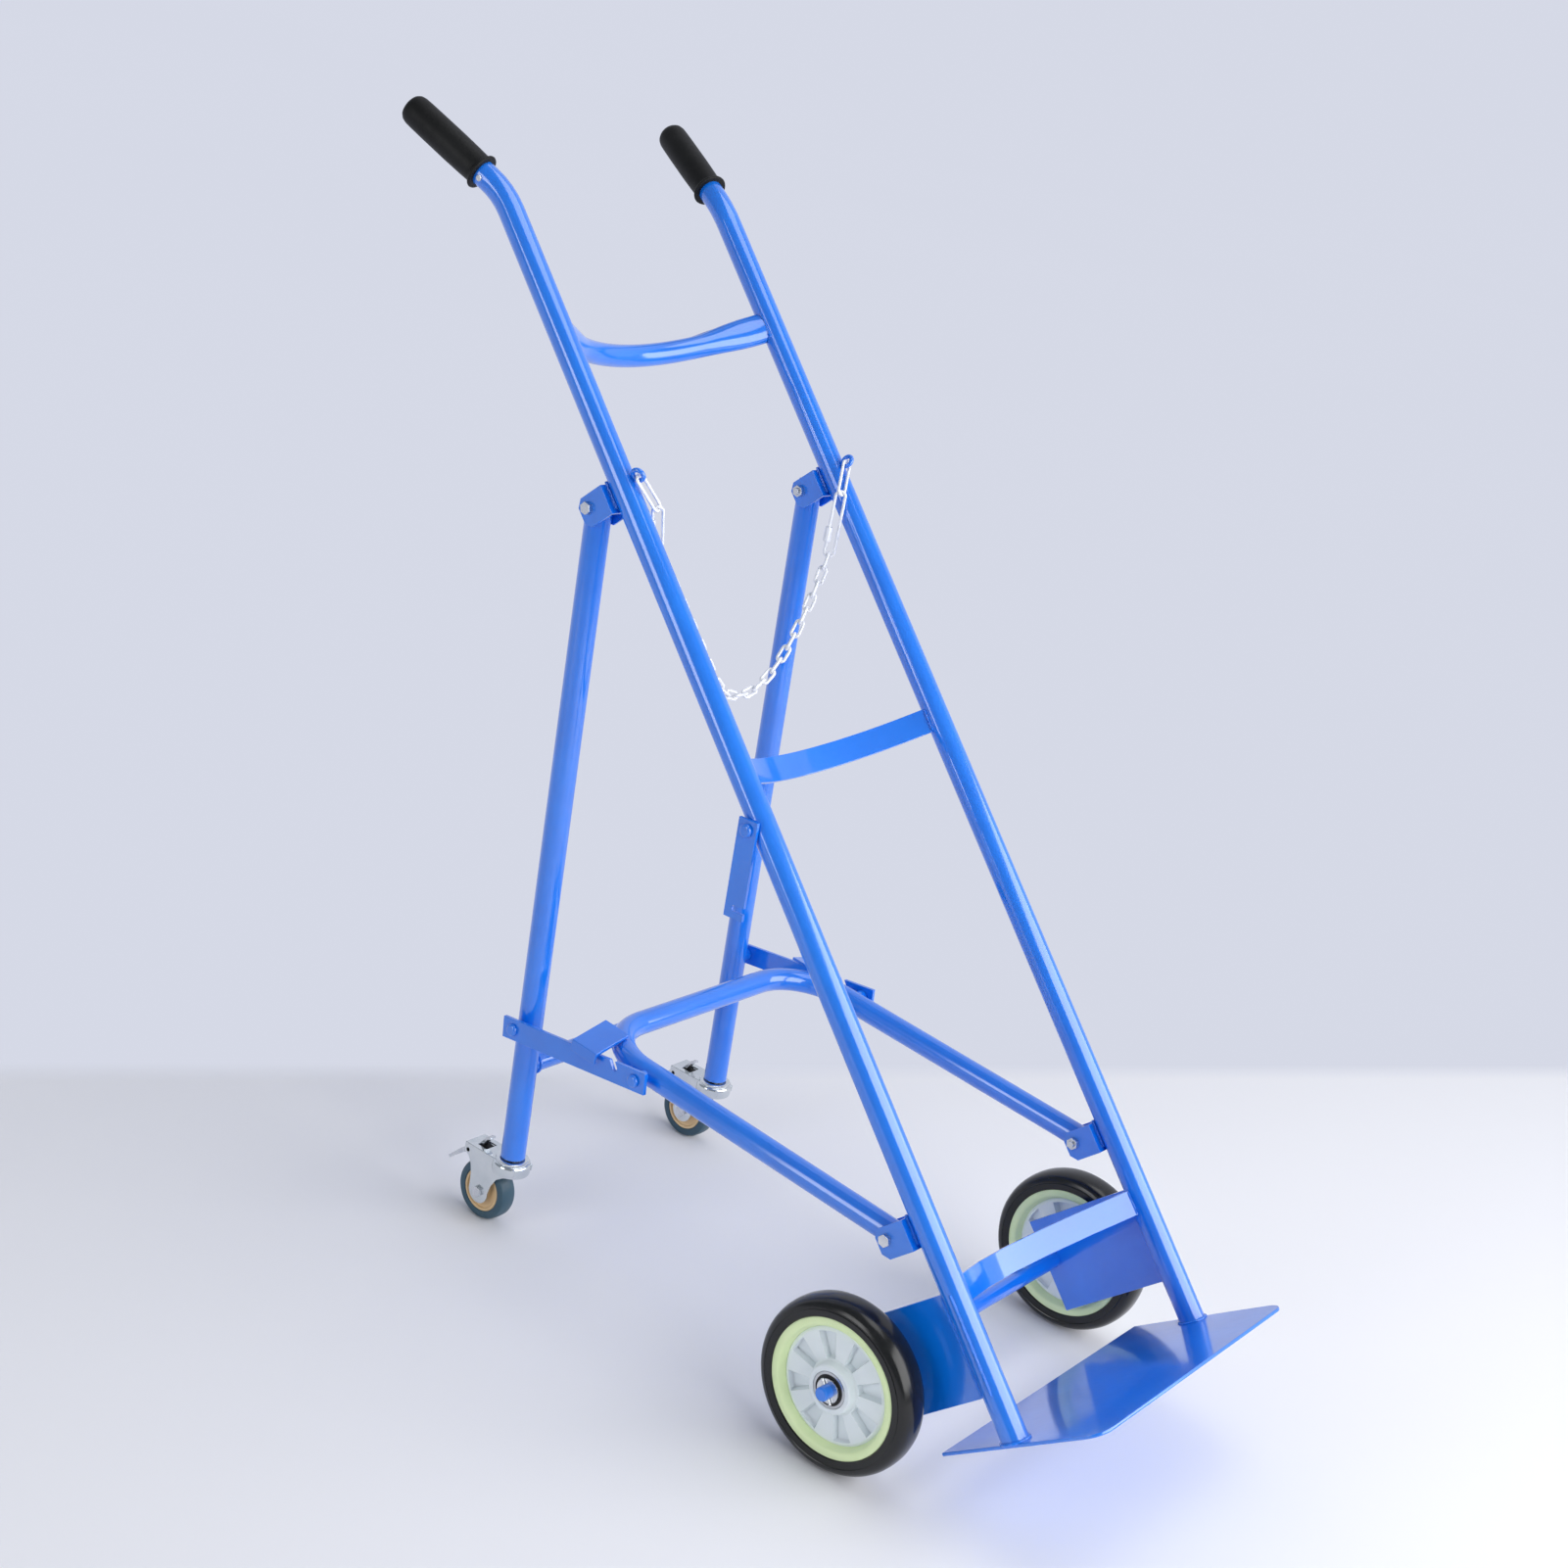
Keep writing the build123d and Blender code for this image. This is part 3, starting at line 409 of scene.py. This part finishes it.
def grain_group():
    """Height of a fine surface grain over a broader ripple."""
    group, group_in, group_out = new_group(
        "Surface grain",
        (("Grain Scale", "NodeSocketFloat", 800.0), ("Ripple Scale", "NodeSocketFloat", 90.0),
         ("Ripple Share", "NodeSocketFloat", 0.5)),
        (("Height", "NodeSocketFloat"),))
    place = put(group, "ShaderNodeTexCoord")
    fine = noise(group, place.outputs["Object"], group_in.outputs["Grain Scale"], 2.0)
    broad = noise(group, place.outputs["Object"], group_in.outputs["Ripple Scale"], 2.0)
    height = mixed(group, group_in.outputs["Ripple Share"], fine, broad)
    group.links.new(height, group_out.inputs["Height"])
    return group


tone_drift = tone_group()
dust_and_rub = wear_group()
surface_grain = grain_group()


def finish(name, tone, second, roughness, metallic=0.0, coat=0.0, coat_roughness=0.05,
           coat_ior=1.5, patch=14.0, dust=0.06, rub=0.12, grain=800.0, ripple=90.0, share=0.5,
           bump=0.1, depth=0.0002, specular=0.5):
    """One material: drifting tone, dust, rubbed gloss and a fine grain, from the shared groups."""
    material = bpy.data.materials.new(name)
    material.use_nodes = True
    tree = material.node_tree
    shader = tree.nodes["Principled BSDF"]
    shader.inputs["Metallic"].default_value = metallic
    shader.inputs["Coat Weight"].default_value = coat
    shader.inputs["Coat Roughness"].default_value = coat_roughness
    shader.inputs["Coat IOR"].default_value = coat_ior
    shader.inputs["Specular IOR Level"].default_value = specular
    drift = tree.nodes.new("ShaderNodeGroup")
    drift.node_tree = tone_drift
    drift.inputs["Tone"].default_value = (*tone, 1)
    drift.inputs["Second Tone"].default_value = (*second, 1)
    drift.inputs["Patch Scale"].default_value = patch
    wear = tree.nodes.new("ShaderNodeGroup")
    wear.node_tree = dust_and_rub
    wear.inputs["Dust"].default_value = dust
    wear.inputs["Base Roughness"].default_value = roughness
    wear.inputs["Rub"].default_value = rub
    tree.links.new(drift.outputs["Color"], wear.inputs["Color"])
    tree.links.new(wear.outputs["Color"], shader.inputs["Base Color"])
    tree.links.new(wear.outputs["Roughness"], shader.inputs["Roughness"])
    skin = tree.nodes.new("ShaderNodeGroup")
    skin.node_tree = surface_grain
    skin.inputs["Grain Scale"].default_value = grain
    skin.inputs["Ripple Scale"].default_value = ripple
    skin.inputs["Ripple Share"].default_value = share
    raised = put(tree, "ShaderNodeBump", Strength=bump, Distance=depth,
                 Height=skin.outputs["Height"])
    tree.links.new(raised.outputs["Normal"], shader.inputs["Normal"])
    return material


blue_paint = finish("blue powder coat", (0.000, 0.165, 0.760), (0.000, 0.190, 0.830), 0.30,
                    coat=0.90, coat_roughness=0.09, coat_ior=1.9, grain=420.0, ripple=40.0,
                    share=0.95, bump=0.02, depth=0.0004, dust=0.02, rub=0.05,
                    specular=0.25)
zinc = finish("bright zinc plate", (0.62, 0.64, 0.68), (0.74, 0.75, 0.77), 0.24, metallic=1.0,
              patch=60.0, dust=0.05, rub=0.20, grain=1500.0, ripple=300.0, bump=0.12)
fork_zinc = finish("polished caster zinc", (0.66, 0.70, 0.72), (0.74, 0.77, 0.78), 0.16,
                   metallic=1.0, patch=40.0, dust=0.03, rub=0.06, grain=900.0, ripple=60.0,
                   share=0.8, bump=0.05, depth=0.0003)
# Paler and less metallic than the other zinc: partly the chain's own bright plate, partly painted highlight
# standing in for the chain's blown-out shine.
chain_zinc_painted_highlight = finish("chain zinc with painted highlight", (0.84, 0.85, 0.87), (0.93, 0.93, 0.94), 0.34,
                    metallic=0.3, patch=120.0, dust=0.0, rub=0.10, grain=1500.0, bump=0.1)
grip_rubber = finish("black grip rubber", (0.004, 0.004, 0.004), (0.008, 0.008, 0.008), 0.50,
                     grain=1800.0, ripple=500.0, bump=0.25, dust=0.015, rub=0.15, specular=0.25)
tyre_rubber = finish("solid tyre rubber", (0.003, 0.003, 0.003), (0.006, 0.006, 0.006), 0.20,
                     grain=1500.0, ripple=240.0, bump=0.06, dust=0.02, rub=0.12)
ring_plastic = finish("pale green cushion ring", (0.80, 0.93, 0.54), (0.76, 0.90, 0.50), 0.38,
                      grain=1400.0, bump=0.1, dust=0.08)
hub_plastic = finish("white nylon", (0.84, 0.89, 0.91), (0.79, 0.85, 0.88), 0.30, coat=0.2,
                     grain=1100.0, bump=0.1, dust=0.08)
bearing_steel = finish("ground bearing steel", (0.48, 0.50, 0.52), (0.60, 0.61, 0.63), 0.22,
                       metallic=1.0, patch=80.0, grain=2400.0, bump=0.1)
seal_rubber = finish("black bearing seal", (0.008, 0.008, 0.009), (0.015, 0.015, 0.016), 0.45,
                     grain=1800.0, bump=0.1)
tread_rubber = finish("slate caster tread", (0.030, 0.075, 0.110), (0.040, 0.095, 0.135), 0.42,
                      grain=1500.0, bump=0.15, dust=0.12, rub=0.2)
core_plastic = finish("tan caster core", (0.78, 0.55, 0.30), (0.70, 0.48, 0.25), 0.40,
                      grain=1300.0, bump=0.1, dust=0.08)
weld_bead = finish("painted weld", (0.000, 0.165, 0.760), (0.000, 0.190, 0.830), 0.26, coat=0.8,
                   grain=700.0, ripple=260.0, bump=0.35, depth=0.0006, dust=0.05)

slot_finish = {"blue_paint": blue_paint, "zinc": zinc, "grip_rubber": grip_rubber,
               "tyre_rubber": tyre_rubber, "wheel_ring": ring_plastic,
               "wheel_hub": hub_plastic, "bearing_steel": bearing_steel,
               "caster_tread": tread_rubber, "caster_core": core_plastic}
slot_of = {part["node"]: part["material_slot"] for part in frame["record"]["subparts"]}
body_with = {node: body for body, nodes in frame["record"]["behaviour"]["bodies"].items()
             for node in nodes}


# ---- places on the uprights -------------------------------------------------------------
lean = math.radians(42.25)
tip_back = math.radians(20.3)
splay = math.radians(12.0)
half_track = 192.0 * mm
foot = Vector((0, -510.0 * mm, 119.6 * mm))
handle_bend_at = 1457.0 * mm
handle_length = 152.0 * mm
grip_length = 118.0 * mm
up_tube = Vector((0, math.sin(lean), math.cos(lean)))
behind_tube = Vector((0, math.cos(lean), -math.sin(lean)))


def beside(side, along, back, out=0.0):
    """A place along and behind one upright, in millimetres, out from its axis."""
    return (foot + up_tube * (along * mm) + behind_tube * (back * mm)
            + Vector((side * (half_track + out * mm), 0, 0)))


def grip_direction(side):
    along = up_tube * math.cos(tip_back) + behind_tube * math.sin(tip_back)
    return along * math.cos(splay) + Vector((side * math.sin(splay), 0, 0))


# ---- handle grips ---------------------------------------------------------------------
grip_rings = ((0.0, 15.2), (-0.1, 19.0), (0.5, 20.9), (1.8, 21.5), (3.2, 21.1), (4.2, 19.8),
              (5.4, 18.2), (8.0, 17.7), (20.0, 18.1), (45.0, 18.5), (80.0, 18.4), (100.0, 18.2),
              (108.0, 17.9), (112.5, 16.8), (115.5, 14.6), (117.2, 11.4), (117.9, 7.0),
              (118.0, 2.0))
for side_name, side in sides:
    toward = grip_direction(side)
    start = beside(side, handle_bend_at / mm, 0) + toward * (handle_length - grip_length)
    grip = turned(side_name + "_grip_sleeve", scaled(grip_rings), start, toward, 64, angle=60)
    dressed(grip, grip_rubber, "frame", side_name + "_grip")

# ---- front wheels ---------------------------------------------------------------------
tyre_rings = both_ways(((19.0, 79.2), (20.2, 80.2), (20.6, 83.0), (20.8, 87.2), (20.2, 87.9),
                        (20.6, 88.8), (19.6, 92.4), (16.8, 95.8), (12.5, 98.2), (7.0, 99.6)),
                       (0.0, 100.0))
ring_rings = both_ways(((8.4, 65.6), (9.2, 66.0), (17.6, 69.4), (19.0, 70.6), (19.6, 72.8),
                        (19.6, 75.4), (19.4, 78.2), (18.8, 79.0)))
bearing_rings = ((-6.0, 17.6), (-6.0, 20.4), (-5.4, 21.0), (5.4, 21.0), (6.0, 20.4), (6.0, 17.6),
                 (5.2, 17.2), (-5.2, 17.2))
seal_rings = both_ways(((5.0, 11.6), (5.5, 12.2), (5.5, 16.8), (5.0, 17.2)))
race_rings = both_ways(((6.0, 8.4), (6.0, 11.0), (5.4, 11.6)))
bearing_seat = 16.0 * mm
web_start = 31.0
web_end = 62.0
hub_rings = both_ways(((22.0, 21.2), (22.0, 25.8), (20.8, 27.4), (13.4, 29.4), (12.0, web_start),
                       (12.0, web_end), (11.6, 64.0), (10.2, 66.0), (8.0, 68.0), (6.4, 70.0)))
pocket_count = 8
pocket_share = 0.5
pocket_depth = 7.5 * mm
pocket_edge = 0.4 * mm
pocket_slope = 1.0 * mm


def wheel_hub(name, center):
    """The moulded hub: boss, rim and a web with pockets between its spokes on both faces."""
    hub = turned(name, scaled(hub_rings), center, (1, 0, 0), 96, True, 30)
    pitch = 2 * math.pi / pocket_count

    def in_pocket(place, normal):
        offset = place - center
        radius = math.hypot(offset.y, offset.z)
        share = (math.atan2(offset.z, offset.y) + math.pi) % pitch / pitch
        return (abs(normal.x) > 0.9 and web_start * mm < radius < web_end * mm
                and abs(share - 0.5) < pocket_share / 2)

    pick_faces(hub, in_pocket)
    bpy.ops.mesh.inset(thickness=pocket_edge, depth=0.0)
    bpy.ops.mesh.inset(thickness=pocket_slope, depth=-pocket_depth)
    bpy.ops.object.mode_set(mode="OBJECT")
    smooth(hub, 24)
    return hub


for side_name, side in sides:
    body = side_name + "_wheel"
    center = joint_place(side_name + "_wheel_spin")
    tyre = turned(side_name + "_tyre", scaled(tyre_rings), center, (1, 0, 0), 160, True, 24)
    dressed(tyre, tyre_rubber, body, side_name + "_wheel_tyre")
    ring = turned(side_name + "_cushion_ring", scaled(ring_rings), center, (1, 0, 0), 128, True, 40)
    dressed(ring, ring_plastic, body, side_name + "_wheel_band")
    hub = wheel_hub(side_name + "_hub", center)
    dressed(hub, hub_plastic, body, side_name + "_wheel_hub")
    for face, face_name in ((-1, "inner"), (1, "outer")):
        seat = center + Vector((face * bearing_seat, 0, 0))
        label = side_name + "_" + face_name
        outer_race = turned(label + "_outer_race", scaled(bearing_rings), seat, (1, 0, 0), 72, True)
        dressed(outer_race, bearing_steel, body, side_name + "_wheel_bearings")
        seal = turned(label + "_seal", scaled(seal_rings), seat, (1, 0, 0), 72, True)
        dressed(seal, seal_rubber, body)
        inner_race = turned(label + "_inner_race", scaled(race_rings), seat, (1, 0, 0), 72, True)
        dressed(inner_race, bearing_steel, body)

# ---- casters --------------------------------------------------------------------------
tread_rings = both_ways(((10.5, 27.0), (11.6, 28.0), (12.0, 30.0), (11.8, 33.5), (10.2, 36.2),
                         (7.0, 37.7)), (0.0, 38.0))
core_rings = both_ways(((12.6, 4.4), (13.0, 5.0), (13.0, 9.0), (12.4, 10.0), (8.6, 11.0),
                        (8.0, 13.0), (8.0, 21.0), (8.8, 22.8), (10.6, 23.6), (10.9, 26.4),
                        (10.2, 27.0)))
for side_name, side in sides:
    body = side_name + "_caster_wheel"
    center = joint_place(side_name + "_caster_spin")
    tread = turned(side_name + "_tread", scaled(tread_rings), center, (1, 0, 0), 96, True, 30)
    dressed(tread, tread_rubber, body, side_name + "_caster_tread")
    core = turned(side_name + "_core", scaled(core_rings), center, (1, 0, 0), 80, True, 34)
    dressed(core, core_plastic, body, side_name + "_caster_core")

fork_half = 16.5 * mm
fork_sheet = 2.5 * mm
fork_top = 92.0 * mm
deck_sheet = 2.3 * mm
brake_behind = 43.0 * mm
brake_block_middle = 86.5 * mm
lobe_radius = 15.5
leg_outline = ([(-19.0, 90.5), (-19.0, 82.0), (-14.0, 77.0), (-4.0, 73.0), (6.0, 66.0),
                (13.0, 54.0)]
               + arc((32.0, 38.0), lobe_radius, 170.0, 372.0, 22)
               + [(48.0, 56.0), (51.0, 68.0), (56.0, 76.0), (64.0, 80.0), (64.0, 90.5)])
skirt_rings = ((78.0, 20.6), (77.2, 21.6), (77.6, 22.8), (79.5, 23.4), (88.0, 23.4), (90.8, 22.4),
               (92.0, 20.4), (92.2, 17.0), (90.2, 16.6), (89.8, 20.0), (88.0, 21.2), (79.0, 21.2))
swivel_race_rings = ((91.8, 7.0), (91.8, 20.2), (92.6, 20.6), (94.6, 20.2), (95.6, 18.8), (95.6, 15.5),
                     (94.6, 13.0), (94.8, 9.0), (94.4, 7.0))
deck_outline = [(-16.5, 64.0)] + arc((0.0, 0.0), 20.0, 215.0, 325.0, 14) + [(16.5, 64.0)]
for side_name, side in sides:
    body = side_name + "_caster"
    swivel = joint_place(side_name + "_caster_swivel")
    ground = Vector((swivel.x, swivel.y, 0))
    first_node = (side_name + "_caster_fork",)
    for face, face_name in ((-1, "right"), (1, "left")):
        leg = drawn(side_name + "_fork_" + face_name + "_leg", scaled(leg_outline), fork_sheet)
        outer_x = face * fork_half - (fork_sheet if face > 0 else 0.0)
        stand(leg, ground + Vector((outer_x, 0, 0)), (0, 1, 0), (0, 0, 1))
        bevelled(leg, 0.7 * mm, 2, 40.0)
        smooth(leg, 35)
        dressed(leg, fork_zinc, body, *first_node)
        first_node = ()
    deck = drawn(side_name + "_fork_deck", scaled(deck_outline), deck_sheet)
    stand(deck, ground + Vector((0, 0, fork_top - deck_sheet)), (1, 0, 0), (0, 1, 0))
    cut_box(deck, ground + Vector((0, brake_behind, fork_top)), (17.0 * mm, 15.0 * mm, 12.0 * mm))
    bevelled(deck, 0.8 * mm, 3, 40.0)
    smooth(deck, 35)
    dressed(deck, fork_zinc, body)
    skirt = turned(side_name + "_fork_skirt", scaled(skirt_rings), ground, (0, 0, 1),
                   96, True, 40)
    dressed(skirt, fork_zinc, body)
    race = turned(side_name + "_fork_race", scaled(swivel_race_rings), ground, (0, 0, 1), 96, True, 40)
    dressed(race, fork_zinc, body)
    bpy.ops.object.select_all(action="DESELECT")
    block_place = ground + Vector((0, brake_behind, brake_block_middle))
    bpy.ops.mesh.primitive_cube_add(size=1.0, location=block_place,
                                    scale=(16.0 * mm, 12.0 * mm, 7.0 * mm))
    block = added(side_name + "_brake_block")
    bpy.ops.object.transform_apply(location=True, rotation=True, scale=True)
    bevelled(block, 1.2 * mm, 3)
    smooth(block)
    dressed(block, grip_rubber, body)

# ---- every other node: merged, eased and given its finish (the top crossbar comes after) --
nodes_made_above = {"left_grip", "right_grip", "top_crossbar"}
for side_name, side in sides:
    nodes_made_above |= {side_name + "_wheel_tyre", side_name + "_wheel_band",
                    side_name + "_wheel_bearings", side_name + "_wheel_hub",
                    side_name + "_caster_fork", side_name + "_caster_tread",
                    side_name + "_caster_core"}
eased = {"toe_plate": 1.2, "middle_crossbar": 1.0, "lower_crossbar": 1.0, "top_crossbar": 0.0,
         "brace_tube": 0.0, "leg_cross_tube": 0.0, "chain_links": 0.0, "left_chain_clip": 0.4,
         "right_snap_hook": 0.4, "split_pins": 0.2, "grip_screws": 0.5, "front_axle": 0.3,
         "hinge_nuts": 0.4, "hinge_bolts": 0.4, "axle_washers": 0.3}
side_eased = {"_upright": 0.0, "_rear_leg": 0.0, "_axle_plate": 0.9, "_upper_bracket": 0.9,
              "_lower_bracket": 0.9, "_chain_eye": 0.0, "_coupler_bar": 0.9, "_catch_plate": 0.8,
              "_brake_pedal": 0.7, "_caster_bolt": 0.5}
for side_name, side in sides:
    for ending, width in side_eased.items():
        eased[side_name + ending] = width
chain_nodes = ("chain_links", "left_chain_clip", "right_snap_hook")
for node in sorted(frame["nodes"]):
    if node in nodes_made_above:
        continue
    piece = refined(node, eased.get(node, 0.5) * mm)
    node_finish = chain_zinc_painted_highlight if node in chain_nodes else slot_finish[slot_of[node]]
    dressed(piece, node_finish, body_with[node], node)


# ---- top crossbar with its flattened ends -----------------------------------------------
def flattened_ends(name, node):
    """The top tube pressed to an upright oval at both ends, where it meets the uprights."""
    bar = refined(node, 0.0)
    bar.name = name
    center = middle_of(node)
    bar.matrix_world = Matrix.Rotation(lean, 4, "X") @ Matrix.Translation(-center)
    only(bar)
    bpy.ops.object.transform_apply(location=True, rotation=True, scale=True)
    reach = max(vertex.co.x for vertex in bar.data.vertices)
    end_face = 10.0 * mm
    pressed = 26.0 * mm
    fading = 70.0 * mm
    for end in (-1, 1):
        at_end = [vertex.co.copy() for vertex in bar.data.vertices
                  if vertex.co.x * end > reach - end_face]
        pivot = sum(at_end, Vector()) / len(at_end)
        bpy.ops.object.mode_set(mode="EDIT")
        bpy.ops.mesh.select_mode(type="VERT")
        bpy.ops.mesh.select_all(action="DESELECT")
        bpy.ops.object.mode_set(mode="OBJECT")
        for vertex in bar.data.vertices:
            vertex.select = vertex.co.x * end > reach - pressed
        bpy.ops.object.mode_set(mode="EDIT")
        bpy.ops.transform.resize(value=(1.0, 0.72, 1.42), center_override=pivot,
                                 use_proportional_edit=True, proportional_size=fading,
                                 proportional_edit_falloff="SMOOTH")
        bpy.ops.object.mode_set(mode="OBJECT")
    bar.matrix_world = Matrix.Translation(center) @ Matrix.Rotation(-lean, 4, "X")
    only(bar)
    bpy.ops.object.transform_apply(location=True, rotation=True, scale=True)
    smooth(bar, 40)
    return bar


dressed(flattened_ends("top_crossbar_pressed", "top_crossbar"), blue_paint, "frame",
        "top_crossbar")

# ---- weld beads -----------------------------------------------------------------------
toe_tilt = math.radians(36.25)
toe_normal = Vector((0, math.sin(toe_tilt), math.cos(toe_tilt)))
cross_center = middle_of("leg_cross_tube")
top_bar_at = 1294.0
bar_places = (("middle", 766.0), ("lower", 150.0))
hinge_places = (("upper", 1091.0), ("lower", 238.0))
for side_name, side in sides:
    weld_ring(side_name + "_foot_weld", beside(side, 0.6, 0), toe_normal, 15.6 * mm, "frame")
    cross_end = Vector((side * (half_track - 14.4 * mm), cross_center.y, cross_center.z))
    weld_ring(side_name + "_leg_cross_weld", cross_end, (1, 0, 0), 12.3 * mm, "leg_frame")
    for edge_name, back, out in (("front", -2.0, -14.6), ("rear", 11.0, -10.6)):
        weld_line(side_name + "_top_bar_" + edge_name + "_weld",
                  beside(side, top_bar_at - 17.0, back, out),
                  beside(side, top_bar_at + 17.0, back, out), "frame", 1.7)
    for edge_name, back, out in (("front", -4.0, 14.2), ("rear", 10.0, 11.5)):
        weld_line(side_name + "_axle_plate_" + edge_name + "_weld",
                  beside(side, 53.0, back, out), beside(side, 163.0, back, out), "frame")
    for bar_name, at in bar_places:
        weld_line(side_name + "_" + bar_name + "_bar_weld", beside(side, at - 14.0, 3.5, -14.8),
                  beside(side, at + 14.0, 3.5, -14.8), "frame", 1.6)
    for hinge_name, at in hinge_places:
        for edge_name, out in (("inner", -9.0), ("outer", 9.0)):
            weld_line(side_name + "_" + hinge_name + "_bracket_" + edge_name + "_weld",
                      beside(side, at - 17.0, 14.2, out), beside(side, at + 17.0, 14.2, out),
                      "frame", 1.7)

# ---- floor, light and camera -----------------------------------------------------------
def stage_finish(name):
    """A studio material with its shader, its coordinates and the slow drift of its tone."""
    material = bpy.data.materials.new(name)
    material.use_nodes = True
    tree = material.node_tree
    shader = tree.nodes["Principled BSDF"]
    shader.inputs["Specular IOR Level"].default_value = 0.0
    place = put(tree, "ShaderNodeTexCoord")
    drift = stepped(tree, noise(tree, place.outputs["Object"], 0.2, 2.0), 0.3, 0.7)
    return material, tree, shader, place, drift


def wall_glow(tree, drift):
    """The wall's own even tone, which no lamp changes."""
    return mixed(tree, drift, (0.668, 0.694, 0.794, 1), (0.671, 0.697, 0.797, 1))


# The far part of the floor glows in the wall's tone, so the handles can reach out over the line
# where wall and floor seem to meet.
wall_line_place = Vector((0.4567, 0.2909, 0))
toward_wall = Vector((0.5098, 0.8603, 0))
black = (0.0, 0.0, 0.0, 1)

bpy.ops.object.select_all(action="DESELECT")
bpy.ops.mesh.primitive_plane_add(size=400.0, location=(0, 0, 0))
floor = added("studio_floor")
floor_finish, tree, shader, place, drift = stage_finish("pale studio floor")
shader.inputs["Roughness"].default_value = 0.7
offset = put(tree, "ShaderNodeVectorMath", Vector=place.outputs["Object"])
offset.operation = "SUBTRACT"
offset.inputs[1].default_value = wall_line_place
reach = put(tree, "ShaderNodeVectorMath")
reach.operation = "DOT_PRODUCT"
tree.links.new(offset.outputs["Vector"], reach.inputs[0])
reach.inputs[1].default_value = toward_wall
beyond = stepped(tree, reach.outputs["Value"], -0.02, 0.03)
near = mixed(tree, drift, (0.78, 0.775, 0.80, 1), (0.80, 0.795, 0.82, 1))
tree.links.new(mixed(tree, beyond, near, black), shader.inputs["Base Color"])
tree.links.new(wall_glow(tree, drift), shader.inputs["Emission Color"])
tree.links.new(beyond, shader.inputs["Emission Strength"])
floor.data.materials.append(floor_finish)

bpy.ops.mesh.primitive_plane_add(size=160.0, location=(21.0, 14.5, 0),
                                 rotation=(math.pi / 2, 0, math.radians(-55.1)))
backdrop = added("studio_backdrop")
bpy.ops.object.transform_apply(location=True, rotation=True, scale=True)
backdrop_finish, tree, shader, place, drift = stage_finish("pale studio wall")
shader.inputs["Base Color"].default_value = black
shader.inputs["Emission Strength"].default_value = 1.0
tree.links.new(wall_glow(tree, drift), shader.inputs["Emission Color"])
backdrop.data.materials.append(backdrop_finish)

world = bpy.data.worlds.new("studio")
bpy.context.scene.world = world
world.use_nodes = True
sky = world.node_tree.nodes["Background"]
sky.inputs["Color"].default_value = (0.80, 0.89, 1.0, 1)
sky.inputs["Strength"].default_value = 0.32


def soft_light(name, place, target, width, height, power):
    bpy.ops.object.light_add(type="AREA", location=place)
    light = bpy.context.object
    light.name = name
    light.data.shape = "RECTANGLE"
    light.data.size = width
    light.data.size_y = height
    light.data.energy = power
    light.rotation_euler = (Vector(target) - Vector(place)).to_track_quat("-Z", "Y").to_euler()


soft_light("front softbox", (0.5, -2.7, 1.7), (0, 0, 0.7), 4.6, 2.4, 120)
soft_light("overhead softbox", (0.3, -0.4, 3.4), (0, 0, 0.4), 2.0, 1.4, 18)
soft_light("left softbox", (-3.4, 0.8, 1.3), (0, 0, 0.4), 1.2, 1.8, 22)

camera_right = Vector((0.6124, -0.7681, 0.1869))
camera_up = Vector((0.1464, 0.3425, 0.9280))
camera_back = Vector((-0.7768, -0.5410, 0.3222))
camera_place = Vector((-2.1098, -1.3963, 1.4805))
bpy.ops.object.camera_add()
camera = bpy.context.object
camera.name = "camera"
turn = Matrix((camera_right, camera_up, camera_back)).transposed().to_4x4()
camera.matrix_world = Matrix.Translation(camera_place) @ turn
camera.data.sensor_width = 36.0
camera.data.lens = 53.48
bpy.context.scene.camera = camera
bpy.context.scene.view_settings.view_transform = "Standard"
